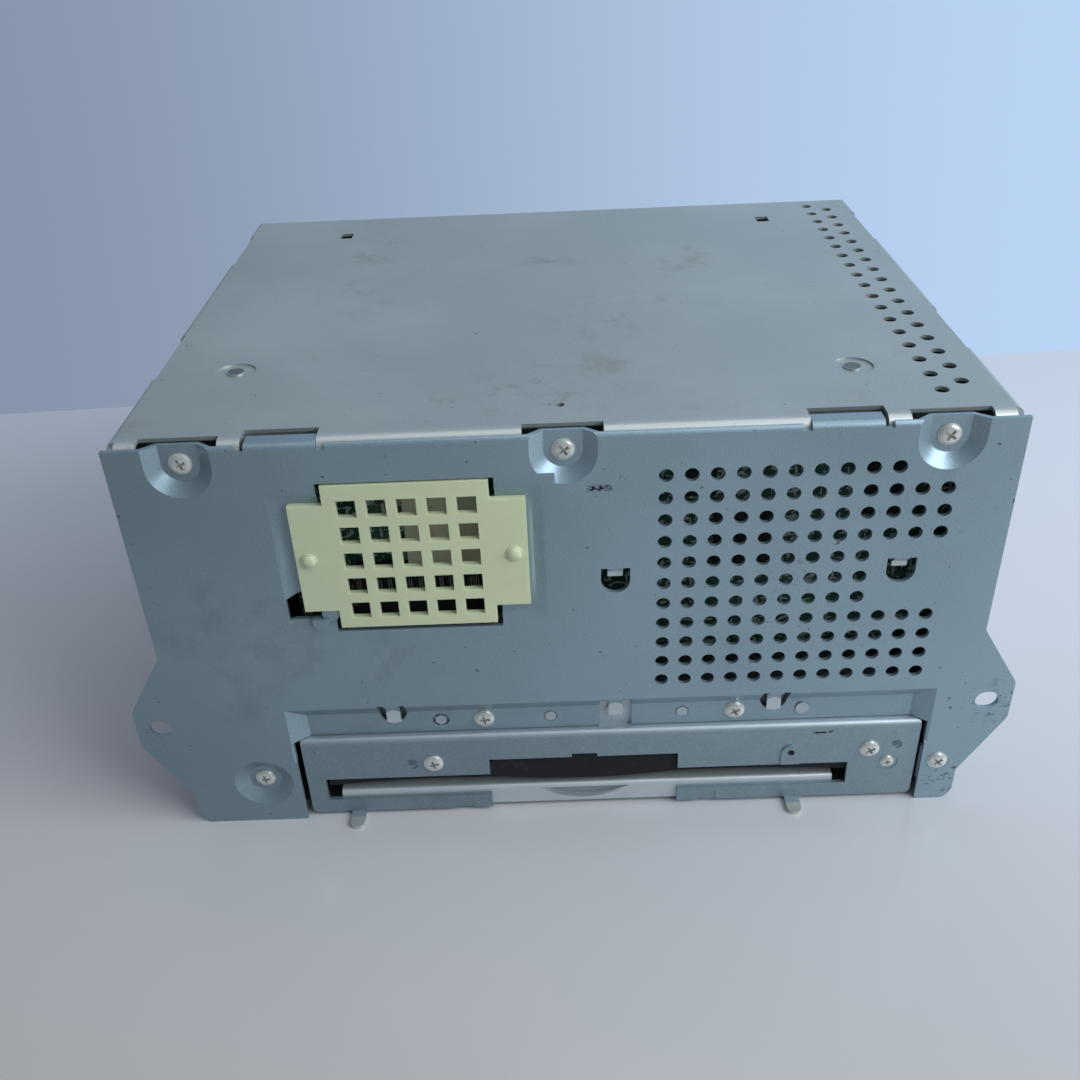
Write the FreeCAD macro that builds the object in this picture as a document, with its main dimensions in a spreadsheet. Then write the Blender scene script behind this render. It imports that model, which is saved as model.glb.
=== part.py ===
import FreeCAD, Part
import math
import os

import Sketcher
from FreeCAD import Vector

# Disc player for a car dashboard with its front trim off, and the slot mechanism inside it.
# Sizes are in millimetres. In every body x runs across the front from its middle,
# y runs back from the front plate's face and z runs up from the underside.

document = FreeCAD.newDocument("disc_player")
sheet = document.addObject("Spreadsheet::Sheet", "sizes")
bodies = []

# How far a quarter circle of radius one bulges from its chord.
QUARTER = 1 - math.cos(math.pi / 4)


class Size:
    """A sum of sheet cells, each held with its factor and value, plus a plain number."""

    def __init__(self, cells, plain=0.0):
        self.cells = cells
        self.plain = plain

    def __float__(self):
        return float(sum(factor * value for factor, value in self.cells.values()) + self.plain)

    def __add__(self, other):
        cells = dict(self.cells)
        extra = other if isinstance(other, Size) else Size({}, other)
        for cell, (factor, value) in extra.cells.items():
            cells[cell] = (cells.get(cell, (0, value))[0] + factor, value)
        return Size(cells, self.plain + extra.plain)

    def __mul__(self, factor):
        cells = {cell: (held * factor, value) for cell, (held, value) in self.cells.items()}
        return Size(cells, self.plain * factor)

    def __truediv__(self, factor):
        return self * (1 / factor)

    def __neg__(self):
        return self * -1

    def __sub__(self, other):
        return self + -1 * other

    def __rsub__(self, other):
        return other + -1 * self

    __radd__ = __add__
    __rmul__ = __mul__


def number(size):
    return float(size)


def text(size):
    """The sheet expression of a size, without brackets, which FreeCAD is slow to read."""
    if not isinstance(size, Size):
        return repr(size)
    parts = [f"{factor:.12g} * {cell}" for cell, (factor, value) in size.cells.items() if factor]
    if size.plain or not parts:
        parts.append(f"{size.plain:.12g}")
    return " + ".join(parts)


class Sizes:
    """A group of sizes in the sheet, each read back by its name."""

    rows = 0

    def __init__(self, group, **values):
        for name, value in values.items():
            Sizes.rows += 1
            alias = f"{group}_{name}"
            sheet.set(f"A{Sizes.rows}", alias)
            sheet.set(f"B{Sizes.rows}", str(value))
            sheet.setAlias(f"B{Sizes.rows}", alias)
            setattr(self, name, Size({f"sizes.{alias}": (1, value)}))
        document.recompute()


def cell_of(size):
    """The one sheet cell that a size stands for."""
    return next(iter(size.cells))


def slope_angle(run, rise):
    """The angle, in degrees, of a wall that moves by run while it goes rise deep."""
    degrees = math.degrees(math.atan2(number(run), number(rise)))
    return Size({f"atan({cell_of(run)} / {cell_of(rise)})": (1, degrees)})


def leaned(thickness, run, rise):
    """How wide a leaning wall of this thickness is, measured level."""
    width = number(thickness) / math.cos(math.atan2(number(run), number(rise)))
    return Size({f"{cell_of(thickness)} / cos(atan({cell_of(run)} / {cell_of(rise)}))": (1, width)})


def bind(thing, **sources):
    for name, size in sources.items():
        thing.setExpression(name.replace("__", "."), text(size))


def body(label, x=0, y=0, z=0):
    """A body whose own origin lies at x, y from the front plate's face and z."""
    made = document.addObject("PartDesign::Body", label)
    made.Label = label
    bind(made, Placement__Base__x=x, Placement__Base__y=front_y + y, Placement__Base__z=z)
    bodies.append(made)
    return made


def sketch(owner, plane="XZ", at=0):
    """A drawing on one of the body's planes, moved to a place along that plane's axis."""
    drawing = owner.newObject("Sketcher::SketchObject", "drawing")
    role = plane + "_Plane"
    drawing.AttachmentSupport = (next(f for f in owner.Origin.OriginFeatures if f.Role == role), [""])
    drawing.MapMode = "FlatFace"
    bind(drawing, AttachmentOffset__Base__z=-1 * at if plane == "XZ" else at)
    drawing.addProperty("App::PropertyString", "Side")
    drawing.Side = plane
    return drawing


def hold(drawing, *measures):
    """Add constraints at one go, each with the size that it follows, or None."""
    indices = drawing.addConstraint([constraint for constraint, size in measures])
    for index, (constraint, size) in zip(indices, measures):
        if isinstance(size, Size):
            drawing.setExpression(f"Constraints[{index}]", text(size))


def at_point(curve, end, point):
    """Constraints that hold one point of a curve."""
    x, y = point
    return [
        (Sketcher.Constraint("DistanceX", curve, end, number(x)), x),
        (Sketcher.Constraint("DistanceY", curve, end, number(y)), y),
    ]


def spot(point):
    return Vector(number(point[0]), number(point[1]), 0)


def outline(drawing, *points):
    """A closed outline through the points; a third value is how far that side bulges to its right."""
    count = len(points)
    curves = []
    for index, point in enumerate(points):
        start = spot(point)
        end = spot(points[(index + 1) % count])
        if len(point) == 2:
            curves.append(Part.LineSegment(start, end))
            continue
        along = end - start
        right = Vector(along.y, -along.x, 0).normalize()
        middle = (start + end) / 2 + right * number(point[2])
        curves.append(Part.Arc(start, middle, end))
    indices = drawing.addGeometry(curves, False)
    starts = []
    for index, point in zip(indices, points):
        starts.append(1 if drawing.getPoint(index, 1).isEqual(spot(point), 1e-6) else 2)
    measures = []
    for place, point in enumerate(points):
        after = (place + 1) % count
        ends = indices[place], 3 - starts[place], indices[after], starts[after]
        measures.append((Sketcher.Constraint("Coincident", *ends), None))
        measures += at_point(indices[place], starts[place], point[:2])
        if len(point) == 3:
            measures.append(arc_shape(drawing, indices[place], point, points[after]))
    hold(drawing, *measures)


def arc_shape(drawing, curve, start, end):
    """Keep a half circle's centre level with its ends, and any other arc's radius as drawn."""
    chord = spot(end) - spot(start)
    if abs(chord.Length / 2 - number(start[2])) > 1e-6:
        return Sketcher.Constraint("Radius", curve, drawing.Geometry[curve].Radius), None
    if abs(chord.x) > abs(chord.y):
        return Sketcher.Constraint("DistanceY", curve, 3, number(start[1])), start[1]
    return Sketcher.Constraint("DistanceX", curve, 3, number(start[0])), start[0]


def rectangle(drawing, x, y):
    outline(drawing, (x[0], y[0]), (x[1], y[0]), (x[1], y[1]), (x[0], y[1]))


def circle(drawing, centre, radius):
    curve = drawing.addGeometry(Part.Circle(spot(centre), Vector(0, 0, 1), number(radius)), False)
    hold(drawing, *at_point(curve, 3, centre), (Sketcher.Constraint("Radius", curve, number(radius)), radius))


def capsule(drawing, start, end, radius):
    """A level slot with round ends about two centres."""
    x = start[0], end[0]
    y = start[1]
    outline(
        drawing,
        (x[0], y - radius),
        (x[1], y - radius, radius),
        (x[1], y + radius),
        (x[0], y + radius, radius),
    )


def arch(drawing, centre, radius, top):
    """A pocket with a half-round bottom about a centre and straight sides up to top."""
    x, z = centre
    outline(drawing, (x - radius, z, radius), (x + radius, z), (x + radius, top), (x - radius, top))


def built(owner, feature, before, grows):
    """Rebuild and make sure that the feature changed the body the right way."""
    document.recompute()
    after = owner.Shape.Volume
    wrong = after <= before if grows else after >= before
    if "Invalid" in feature.State or "Error" in feature.State or wrong:
        problem = feature.getStatusString()
        raise RuntimeError(f"{owner.Label}: {feature.Name} went from {before} to {after}, {problem}")
    return feature


def volume(owner):
    return 0.0 if owner.Shape.isNull() else owner.Shape.Volume


def pad(owner, drawing, length, toward=1, taper=None):
    """Add a drawing's outline as a solid towards the plus or minus side."""
    before = volume(owner)
    feature = owner.newObject("PartDesign::Pad", "pad")
    feature.Profile = drawing
    feature.Refine = False
    feature.Reversed = (toward == 1) == (drawing.Side == "XZ")
    bind(feature, Length=length)
    if taper is not None:
        bind(feature, TaperAngle=taper)
    return built(owner, feature, before, True)


def pocket(owner, drawing, length=None, toward=1, taper=None):
    """Cut a drawing's outline, right through when no length is given."""
    before = volume(owner)
    feature = owner.newObject("PartDesign::Pocket", "pocket")
    feature.Profile = drawing
    feature.Refine = False
    feature.Reversed = (toward == 1) != (drawing.Side == "XZ")
    if length is None:
        feature.Type = "ThroughAll"
    else:
        bind(feature, Length=length)
    if taper is not None:
        bind(feature, TaperAngle=taper)
    return built(owner, feature, before, False)


def box(owner, x, y, z):
    """Add a block that reaches from the first to the second size along each axis."""
    drawing = sketch(owner, "XY", z[0])
    rectangle(drawing, x, y)
    return pad(owner, drawing, z[1] - z[0])


def cut_box(owner, x, y, z):
    drawing = sketch(owner, "XY", z[0])
    rectangle(drawing, x, y)
    return pocket(owner, drawing, z[1] - z[0])


def rod(owner, plane, span, radius, *centres):
    """Add round bars across a plane, from the first to the second size of the span."""
    drawing = sketch(owner, plane, span[0])
    for centre in centres:
        circle(drawing, centre, radius)
    return pad(owner, drawing, span[1] - span[0])


def bore(owner, plane, span, radius, *centres):
    drawing = sketch(owner, plane, span[0])
    for centre in centres:
        circle(drawing, centre, radius)
    return pocket(owner, drawing, span[1] - span[0])


def slab(owner, plane, span, *points):
    """Add a flat piece with this outline across a plane."""
    drawing = sketch(owner, plane, span[0])
    outline(drawing, *points)
    return pad(owner, drawing, span[1] - span[0])


def turned(owner, plane, axis, *points):
    """Turn a half section about the drawing's own axis."""
    before = volume(owner)
    drawing = sketch(owner, plane)
    outline(drawing, *points)
    feature = owner.newObject("PartDesign::Revolution", "turning")
    feature.Profile = drawing
    feature.ReferenceAxis = (drawing, [axis])
    return built(owner, feature, before, True)


def six_corners(centre, radius):
    """Corners of the six-sided stand-in for a small round hole or shank, which keeps the facets few."""
    x, z = centre
    across = radius * math.cos(math.pi / 6)
    half = radius / 2
    return [
        (x, z - radius), (x + across, z - half), (x + across, z + half),
        (x, z + radius), (x - across, z + half), (x - across, z - half),
    ]


def hexagon(drawing, centre, radius):
    outline(drawing, *six_corners(centre, radius))


def pierce(owner, plane, at, radius, centres):
    """Cut a field of small holes at one go. So many bound measures would solve too slowly, so the
    drawing's lines take their places straight from the sizes."""
    drawing = sketch(owner, plane, at)
    for centre in centres:
        corners = [spot(corner) for corner in six_corners(centre, radius)]
        for first, second in zip(corners, corners[1:] + corners[:1]):
            drawing.addGeometry(Part.LineSegment(first, second), False)
    return pocket(owner, drawing)


def shanks(owner, plane, span, radius, *centres):
    """Add six-sided screw shanks across a plane."""
    drawing = sketch(owner, plane, span[0])
    for centre in centres:
        hexagon(drawing, centre, radius)
    return pad(owner, drawing, span[1] - span[0])


def screw_holes(owner, plane, span, radius, *centres):
    drawing = sketch(owner, plane, span[0])
    for centre in centres:
        hexagon(drawing, centre, radius)
    return pocket(owner, drawing, span[1] - span[0])


def axis_of(owner, letter):
    return next(f for f in owner.Origin.OriginFeatures if f.Role == f"{letter.upper()}_Axis")


def row(owner, feature, letter, pitch, count, grows=False):
    """Repeat a feature along an axis."""
    before = volume(owner)
    pattern = owner.newObject("PartDesign::LinearPattern", "row")
    pattern.Originals = [feature]
    pattern.Refine = False
    pattern.Direction = (axis_of(owner, letter), [""])
    pattern.Mode = "Spacing"
    bind(pattern, Offset=pitch, Occurrences=count)
    owner.Tip = pattern
    return built(owner, pattern, before, grows)


def grid(owner, feature, pitch_x, count_x, pitch_z, count_z):
    """Repeat a hole across and down."""
    before = volume(owner)
    both = owner.newObject("PartDesign::MultiTransform", "grid")
    steps = []
    for letter, pitch, count in (("x", pitch_x, count_x), ("z", pitch_z, count_z)):
        step = owner.newObject("PartDesign::LinearPattern", "step")
        step.Direction = (axis_of(owner, letter), [""])
        step.Mode = "Spacing"
        step.Reversed = letter == "z"
        bind(step, Offset=pitch, Occurrences=count)
        steps.append(step)
    both.Refine = False
    both.Originals = [feature]
    both.Transformations = steps
    owner.Tip = both
    return built(owner, both, before, False)


def ring(owner, feature, letter, count, grows=True):
    """Repeat a feature all the way round an axis."""
    before = volume(owner)
    pattern = owner.newObject("PartDesign::PolarPattern", "ring")
    pattern.Originals = [feature]
    pattern.Refine = False
    pattern.Axis = (axis_of(owner, letter), [""])
    pattern.Angle = 360
    bind(pattern, Occurrences=count)
    owner.Tip = pattern
    return built(owner, pattern, before, grows)


def fillet(owner, radius, wanted):
    """Merge split faces, then round the straight edges that answer to wanted(middle, direction)."""
    tip = owner.Tip
    if tip.TypeId != "PartDesign::Fillet":
        tip.Refine = True
        document.recompute()
    chosen = []
    for index, edge in enumerate(tip.Shape.Edges, 1):
        half_way = (edge.FirstParameter + edge.LastParameter) / 2
        if edge.Curve.TypeId == "Part::GeomLine" and wanted(edge.valueAt(half_way), edge.tangentAt(half_way)):
            chosen.append(f"Edge{index}")
    if not chosen:
        raise RuntimeError(f"{owner.Label}: no edge to round")
    feature = owner.newObject("PartDesign::Fillet", "fillet")
    feature.Base = (tip, chosen)
    bind(feature, Radius=radius)
    document.recompute()
    if "Invalid" in feature.State or abs(owner.Shape.Volume - tip.Shape.Volume) < 1e-6:
        raise RuntimeError(f"{owner.Label}: {len(chosen)} edges could not be rounded")
    return feature


def near(value, *targets):
    return any(abs(value - number(target)) < 0.02 for target in targets)


def press_in(owner, draw, depth, slope, thickness):
    """Press an outline back from the face at y = 0, leaving a floor of the sheet's thickness."""
    lean = slope_angle(slope, depth)
    swell = sketch(owner)
    draw(swell, leaned(thickness, slope, depth))
    pad(owner, swell, depth + thickness, 1, -lean)
    hollow = sketch(owner)
    draw(hollow, 0)
    pocket(owner, hollow, depth, 1, -lean)


# Overall sizes. The origin lies under the middle of everything, lugs and cooling fins included.
plate = Sizes("plate", width=180, height=101, thick=1)
unit = Sizes("unit", depth=148)
lug = Sizes("lug", reach=4, width=3.4, pitch=104.2, middle=0.1)
fins = Sizes("fins", depth=16, base=3, thick=1.6, pitch=5)
front_y = -(unit.depth + fins.depth - lug.reach) / 2
half_width = plate.width / 2


# Front plate: pressed steel with two mounting ears.
ear = Sizes(
    "ear", reach=9.2, top=50, upper=35.1, lower=24.9, foot=9,
    hole_pitch=187.2, hole_z=30.2, hole_radius=2.3, hole_stretch=0.6, corner=2, foot_round=3.5,
)
upper_screw = Sizes("upper_screw", inset=14.5, drop=4.1, depth=2.2, slope=2.8, radius=6.7)
dimple = Sizes("dimple", inset=16.9, height=12.1, depth=2, slope=3.1, radius=6.9)
foot_screw = Sizes("foot_screw", inset=4.9, height=12.3)
bay = Sizes("bay", left=-64.4, right=81.4, top=24)
band = Sizes("band", left=-64.8, right=81.9, top=34.1, lower=18, depth=3, slope=4, middle=27.4)
screw = Sizes(
    "screw", hole=1.6, shank=1.25, thread_hole=1.3, head=2.35, head_height=1.1, front_long=4.2, band_long=3.4,
    bracket_long=2.4, small_head=1.6, small_height=0.7,
)

upper_screw_z = plate.height - upper_screw.drop
upper_screw_x = [upper_screw.inset - half_width, 0, half_width - upper_screw.inset]
dimple_at = (dimple.inset - half_width, dimple.height)
foot_screw_at = (half_width - foot_screw.inset, foot_screw.height)
front_screws_at = [(x, upper_screw_z) for x in upper_screw_x] + [dimple_at, foot_screw_at]
pocket_back = upper_screw.depth + plate.thick
dimple_back = dimple.depth + plate.thick
band_back = band.depth + plate.thick


def make_front_plate():
    """Pressings first and holes last, because each later step is slower on a pierced sheet."""
    made = body("front_plate")
    reach = half_width + ear.reach
    right_side = [
        (half_width, 0),
        (half_width, ear.foot),
        (reach, ear.lower),
        (reach, ear.upper),
        (half_width, ear.top),
        (half_width, plate.height),
    ]
    left_side = [(-x, z) for x, z in reversed(right_side)]
    slab(made, "XZ", (0, plate.thick), *right_side, *left_side)
    fillet(made, ear.corner, lambda m, d: abs(d.y) > 0.9 and near(abs(m.x), reach))
    fillet(made, ear.foot_round, lambda m, d: abs(d.y) > 0.9 and near(m.z, 0))
    press_screw_pockets(made)
    press_band(made)
    press_grille_seat(made)
    bend_tongues(made)
    cut_plate_holes(made)
    cut_vents(made)


def press_screw_pockets(made):
    """Three half-round pockets at the top edge and a round dimple at the lower left."""

    def round_dimple(drawing, grow):
        circle(drawing, dimple_at, dimple.radius + grow)

    for x in upper_screw_x:

        def open_pocket(drawing, grow):
            arch(drawing, (x, upper_screw_z), upper_screw.radius + grow, plate.height + 12)

        press_in(made, open_pocket, upper_screw.depth, upper_screw.slope, plate.thick)
    press_in(made, round_dimple, dimple.depth, dimple.slope, plate.thick)
    cut_box(made, (-plate.width, plate.width), (-1, 30), (plate.height, plate.height + 30))


def press_band(made):
    """The sunk band above the mechanism and the bay that the mechanism's bracket fills."""

    def sunk(drawing, grow):
        rectangle(drawing, (band.left - grow, band.right + grow), (band.lower - grow, band.top + grow))

    press_in(made, sunk, band.depth, band.slope, plate.thick)
    cut_box(made, (bay.left, bay.right), (-1, 30), (-1, bay.top))


# Seat, window and pegs of the vent grille, all measured from the plate's top edge.
seat = Sizes("seat", left=-59.7, right=-4.2, low=43.3, high=10.5, depth=1.2, slope=2.5)
window = Sizes("window", left=-49.5, right=-14, low=45, high=8.7)
gap = Sizes("gap", left=-59.5, low=41.9, high=34.9, ramp=3.7, ramp_drop=1.5)
grille = Sizes(
    "grille", middle=-31.8, drop=26.45, wide=47.8, wide_height=25.7, tall_width=33.4, tall=34.7, thick=1.6,
    hole=4, pitch_x=6.05, pitch_z=6.2, count=5, first_x=-43.85, first_drop=14.6,
    peg_pitch=42.3, peg=1.7, peg_shank=1.2,
)
grille_z = plate.height - grille.drop
grille_pegs = [(grille.middle + side * grille.peg_pitch / 2, grille_z) for side in (-1, 1)]


def press_grille_seat(made):
    top = plate.height

    def sunk(drawing, grow):
        z = (top - seat.low - grow, top - seat.high + grow)
        rectangle(drawing, (seat.left - grow, seat.right + grow), z)

    press_in(made, sunk, seat.depth, seat.slope, plate.thick)
    cut_box(made, (window.left, window.right), (-1, 9), (top - window.low, top - window.high))
    clearance = sketch(made)
    outline(
        clearance,
        (gap.left, top - gap.low),
        (window.left + 1, top - gap.low),
        (window.left + 1, top - gap.high),
        (gap.left + gap.ramp, top - gap.high),
        (gap.left, top - gap.high - gap.ramp_drop),
    )
    pocket(made, clearance)
    screw_holes(made, "XZ", (0, 9), grille.peg_shank + 0.1, *grille_pegs)
    hook_x = gap.left + 6.8
    hook_low = top - gap.low - 0.4
    hook_high = top - gap.low + 0.5
    slab(
        made, "XZ", (-0.7, plate.thick),
        (hook_x - 1.8, hook_low, 1.8),
        (hook_x + 1.8, hook_low),
        (hook_x + 1.8, hook_high),
        (hook_x - 1.8, hook_high),
    )


vent = Sizes("vent", radius=1.45, pitch_x=5.105, pitch_z=5.172, left=20.1, drop=9.8)


def cut_vents(made):
    """Eleven rows of round air holes; some rows stop short of a screw pocket or a slot."""
    holes_in_row = [10, 12, 12, 12, 9, 9, 9, 12, 12, 12, 12]
    centres = []
    for down, count in enumerate(holes_in_row):
        z = plate.height - vent.drop - down * vent.pitch_z
        centres += [(vent.left + across * vent.pitch_x, z) for across in range(count)]
    pierce(made, "XZ", -1, vent.radius, centres)


slit = Sizes("slit", left=10.05, right=69.4, drop=34.45, radius=3.05, above=3.05, tab=1.6, sunk=1.5)
hook = Sizes("hook", middle=2.7, pitch=43.5, radius=3.1, above=3.1, height=30.3, tip=27.7, sunk=2.4)
peg = Sizes("peg", hole=1.65, oval=-30.1, left=-4.85, right=25.4, button=52.9, stretch=0.3)
band_screw = Sizes("band_screw", left=-20.1, right=37.4)
band_screws_at = [(band_screw.left, band.middle), (band_screw.right, band.middle)]
groove = Sizes("groove", middle=10.1, width=7.3, ring=2.25, ring_z=27.8)


def bent_tab(made, x, top, sunk, tip):
    """A tongue that hangs from a slot's top edge and steps back behind the sheet's face."""
    thick = plate.thick
    slab(
        made, "YZ", (x - slit.tab, x + slit.tab),
        (0.15, top + 0.4),
        (0.15, top - 0.4),
        (sunk, top - 1.7),
        (sunk, tip),
        (sunk + thick, tip),
        (sunk + thick, top - 1.2),
        (thick, top + 0.4),
    )


def cut_plate_holes(made):
    slots = sketch(made)
    for x in (slit.left, slit.right):
        arch(slots, (x, plate.height - slit.drop), slit.radius, plate.height - slit.drop + slit.above)
    for side in (-1, 1):
        arch(slots, (hook.middle + side * hook.pitch, hook.height), hook.radius, hook.height + hook.above + 1)
    pocket(made, slots)
    cut_box(made, (groove.middle - groove.width / 2, groove.middle + groove.width / 2), (-1, 9),
            (bay.top - 1, band.top - 0.6))
    for x in (slit.left, slit.right):
        top = plate.height - slit.drop + slit.above
        bent_tab(made, x, top, slit.sunk, top - 2.9)
    for x in (hook.middle - hook.pitch, groove.middle, hook.middle + hook.pitch):
        bent_tab(made, x, band.top + 0.1, hook.sunk, hook.tip)
    holes = sketch(made)
    for centre in front_screws_at + band_screws_at:
        hexagon(holes, centre, screw.hole)
    for x in (peg.left, peg.right):
        hexagon(holes, (x, band.middle), peg.hole)
    circle(holes, (peg.button, band.middle), peg.hole)
    capsule(holes, (peg.oval - peg.stretch, band.middle), (peg.oval + peg.stretch, band.middle), peg.hole)
    for side in (-1, 1):
        x = side * ear.hole_pitch / 2
        ends = (x - ear.hole_stretch / 2, ear.hole_z), (x + ear.hole_stretch / 2, ear.hole_z)
        capsule(holes, *ends, ear.hole_radius)
    pocket(made, holes)


tongue = Sizes("tongue", inner=48.1, outer=62.1, back=4.2, rise=0.3, bend=1.6, relief=1.8, relief_depth=1.2)


def bend_tongues(made):
    """Two tongues of the top edge, bent back over the cover's front, with a relief cut at each side."""
    top = plate.height
    for side in (-1, 1):
        for edge in (tongue.inner - tongue.relief, tongue.outer):
            ends = sorted((side * edge, side * (edge + tongue.relief)), key=number)
            cut_box(made, ends, (-1, 3), (top - tongue.relief_depth, top + 1))
        ends = sorted((side * tongue.inner, side * tongue.outer), key=number)
        slab(
            made, "YZ", ends,
            (0, top - tongue.relief_depth),
            (plate.thick, top - tongue.relief_depth),
            (plate.thick, top + tongue.rise - plate.thick),
            (tongue.back, top + tongue.rise - plate.thick),
            (tongue.back, top + tongue.rise),
            (0, top + tongue.rise),
        )
    fillet(made, tongue.bend, lambda m, d: abs(d.x) > 0.9 and near(m.z, top + tongue.rise) and near(m.y, 0))


def make_vent_grille():
    """Moulded ivory grille that sits in the plate's seat, heat-staked by two pegs."""
    made = body("vent_grille")
    x, z = grille.middle, grille_z
    front = (seat.depth - grille.thick, seat.depth)
    wide = sketch(made, "XZ", front[0])
    a, b = grille.tall_width / 2, grille.wide / 2
    c, d = grille.wide_height / 2, grille.tall / 2
    half_cross = [(b, -c), (b, c), (a, c), (a, d), (-a, d), (-a, c)]
    other_half = [(-u, -v) for u, v in half_cross]
    outline(wide, *[(x + u, z + v) for u, v in half_cross + other_half])
    pad(made, wide, grille.thick)
    hole = sketch(made, "XZ", front[0])
    first_z = plate.height - grille.first_drop
    side = grille.hole / 2
    rectangle(hole, (grille.first_x - side, grille.first_x + side), (first_z - side, first_z + side))
    grid(made, pocket(made, hole), grille.pitch_x, grille.count, grille.pitch_z, grille.count)
    shanks(made, "XZ", (seat.depth, seat.depth + plate.thick + 0.6), grille.peg_shank, *grille_pegs)
    rod(made, "XZ", (front[0] - 0.4, seat.depth), grille.peg, *grille_pegs)


# Top cover, tray and rear panel: folded steel round the works.
cover = Sizes(
    "cover", thick=0.8, above=0.6, inset=0.4, bend=2.2, side_bend=1.6, front_drop=7, side_drop=14,
    slot=8, slot_back=4.2, notch_back=6.3,
)
roof_vent = Sizes("roof_vent", radius=1.5, inset=13.6, second=5.1, first=12.54, pitch=7.643, shift=3.7)
rivet = Sizes("rivet", left=-71.1, left_y=35.5, right=61.8, right_y=25.8, radius=1.9, recess=4.4, deep=0.35)
tray = Sizes(
    "tray", thick=1, front=5.2, tab_low=6, tab_high=16, ledge=6, ledge_long=15, board_z=40,
    ledge_front=30, ledge_back=43, rear_tab=8, rear_low=12, rear_high=21, rear_tall=12,
)
roof = plate.height + cover.above
ceiling = roof - cover.thick
cover_half = half_width - cover.inset
tray_half = cover_half - cover.thick
inner_half = tray_half - tray.thick
inside_back = unit.depth - tray.thick
ledges_y = [tray.ledge_front, unit.depth - tray.ledge_back]
rear_tabs_z = [tray.rear_low, plate.height - tray.rear_high]


def make_top_cover():
    made = body("top_cover")
    edge = cover_half - cover.side_bend
    main = sketch(made, "XZ", plate.thick + cover.bend)
    outline(
        main,
        (-cover_half, roof - cover.side_drop),
        (-tray_half, roof - cover.side_drop),
        (-tray_half, ceiling),
        (tray_half, ceiling),
        (tray_half, roof - cover.side_drop),
        (cover_half, roof - cover.side_drop),
        (cover_half, roof - cover.side_bend, QUARTER * cover.side_bend),
        (edge, roof),
        (-edge, roof, QUARTER * cover.side_bend),
        (-cover_half, roof - cover.side_bend),
    )
    pad(made, main, unit.depth - plate.thick - cover.bend)
    back = plate.thick + cover.bend
    slab(
        made, "YZ", (-inner_half, inner_half),
        (plate.thick, roof - cover.front_drop),
        (plate.thick + cover.thick, roof - cover.front_drop),
        (plate.thick + cover.thick, roof - cover.bend, -QUARTER * (cover.bend - cover.thick)),
        (back, ceiling),
        (back + 1, ceiling),
        (back + 1, roof),
        (back, roof, QUARTER * cover.bend),
        (plate.thick, roof - cover.bend),
    )
    cuts = sketch(made, "XY", ceiling - 12)
    for x in upper_screw_x:
        rectangle(cuts, (x - cover.slot, x + cover.slot), (0, cover.slot_back))
    for side in (-1, 1):
        ends = sorted((side * (tongue.inner - 0.1), side * (tongue.outer + 0.9)), key=number)
        rectangle(cuts, ends, (0, cover.notch_back))
    pocket(made, cuts)
    gaps = sketch(made, "XY", roof - 6)
    for side in (-1, 1):
        ends = sorted((side * (tray_half - 0.6), side * (cover_half + 1)), key=number)
        for y in ((33, 58), (unit.depth - 38, unit.depth - 12)):
            rectangle(gaps, ends, y)
    pocket(made, gaps)
    cut_roof_holes(made)
    return made


def cut_roof_holes(made):
    x = half_width - roof_vent.inset
    span = (ceiling - 1, roof + 1)
    recess = sketch(made, "XY", roof - rivet.deep)
    for centre in ((rivet.left, rivet.left_y), (rivet.right, rivet.right_y)):
        circle(recess, centre, rivet.recess)
        circle(recess, centre, rivet.radius)
    pocket(made, recess, rivet.deep + 1)
    for slot_x in (-60, 61.4):
        cut_box(made, (slot_x - 1.75, slot_x + 1.75), (unit.depth - 18.5, unit.depth - 14), span)
    screw_holes(made, "XY", span, 0.95, (-0.2, 12.3))
    centres = [(x, roof_vent.first + along * roof_vent.pitch) for along in range(18)]
    centres += [(x + roof_vent.second, y + roof_vent.shift) for x, y in centres[:17]]
    pierce(made, "XY", ceiling - 1, roof_vent.radius, centres)


def make_chassis_tray():
    made = body("chassis_tray")
    floor = (0, tray.thick)
    box(made, (-tray_half, tray_half), (tray.front, unit.depth), floor)
    for ends in ((-tray_half, -inner_half), (inner_half, tray_half)):
        box(made, ends, (plate.thick, unit.depth), (0, ceiling))
    left_tab = (dimple_back, dimple_back + tray.thick)
    box(made, (-inner_half, dimple_at[0] + 7), left_tab, (tray.tab_low - 2, tray.tab_high + 4))
    right_tab = (plate.thick, plate.thick + tray.thick)
    box(made, (bay.right - 0.2, inner_half), right_tab, (tray.tab_low, tray.tab_high))
    for side in (-1, 1):
        ends = sorted((side * (inner_half - tray.ledge), side * inner_half), key=number)
        for y in ledges_y:
            box(made, ends, (y, y + tray.ledge_long), (tray.board_z - tray.thick, tray.board_z))
        ends = sorted((side * (inner_half - tray.rear_tab), side * inner_half), key=number)
        for z in rear_tabs_z:
            box(made, ends, (inside_back - tray.thick, inside_back), (z, z + tray.rear_tall))
        middle = lug.middle + side * lug.pitch / 2
        box(made, (middle - lug.width / 2, middle + lug.width / 2), (-lug.reach, tray.front + 1), floor)
    fillet(made, 1.5, lambda m, d: abs(d.z) > 0.9 and near(m.y, -lug.reach))
    for x in (-30, 0, 30):
        cut_box(made, (x - 9, x + 9), (unit.depth - 12, unit.depth - 9), (-1, 2))
    return made


rear_slot = Sizes("rear_slot", left=-76, width=3, low=12, high=30, pitch=6, count=8)


def make_rear_panel():
    made = body("rear_panel")
    box(made, (-inner_half, inner_half), (inside_back, unit.depth), (tray.thick, ceiling))
    slot_x = (rear_slot.left, rear_slot.left + rear_slot.width)
    slot = cut_box(made, slot_x, (inside_back - 1, unit.depth + 1), (rear_slot.low, rear_slot.high))
    row(made, slot, "x", rear_slot.pitch, rear_slot.count)
    return made


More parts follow.
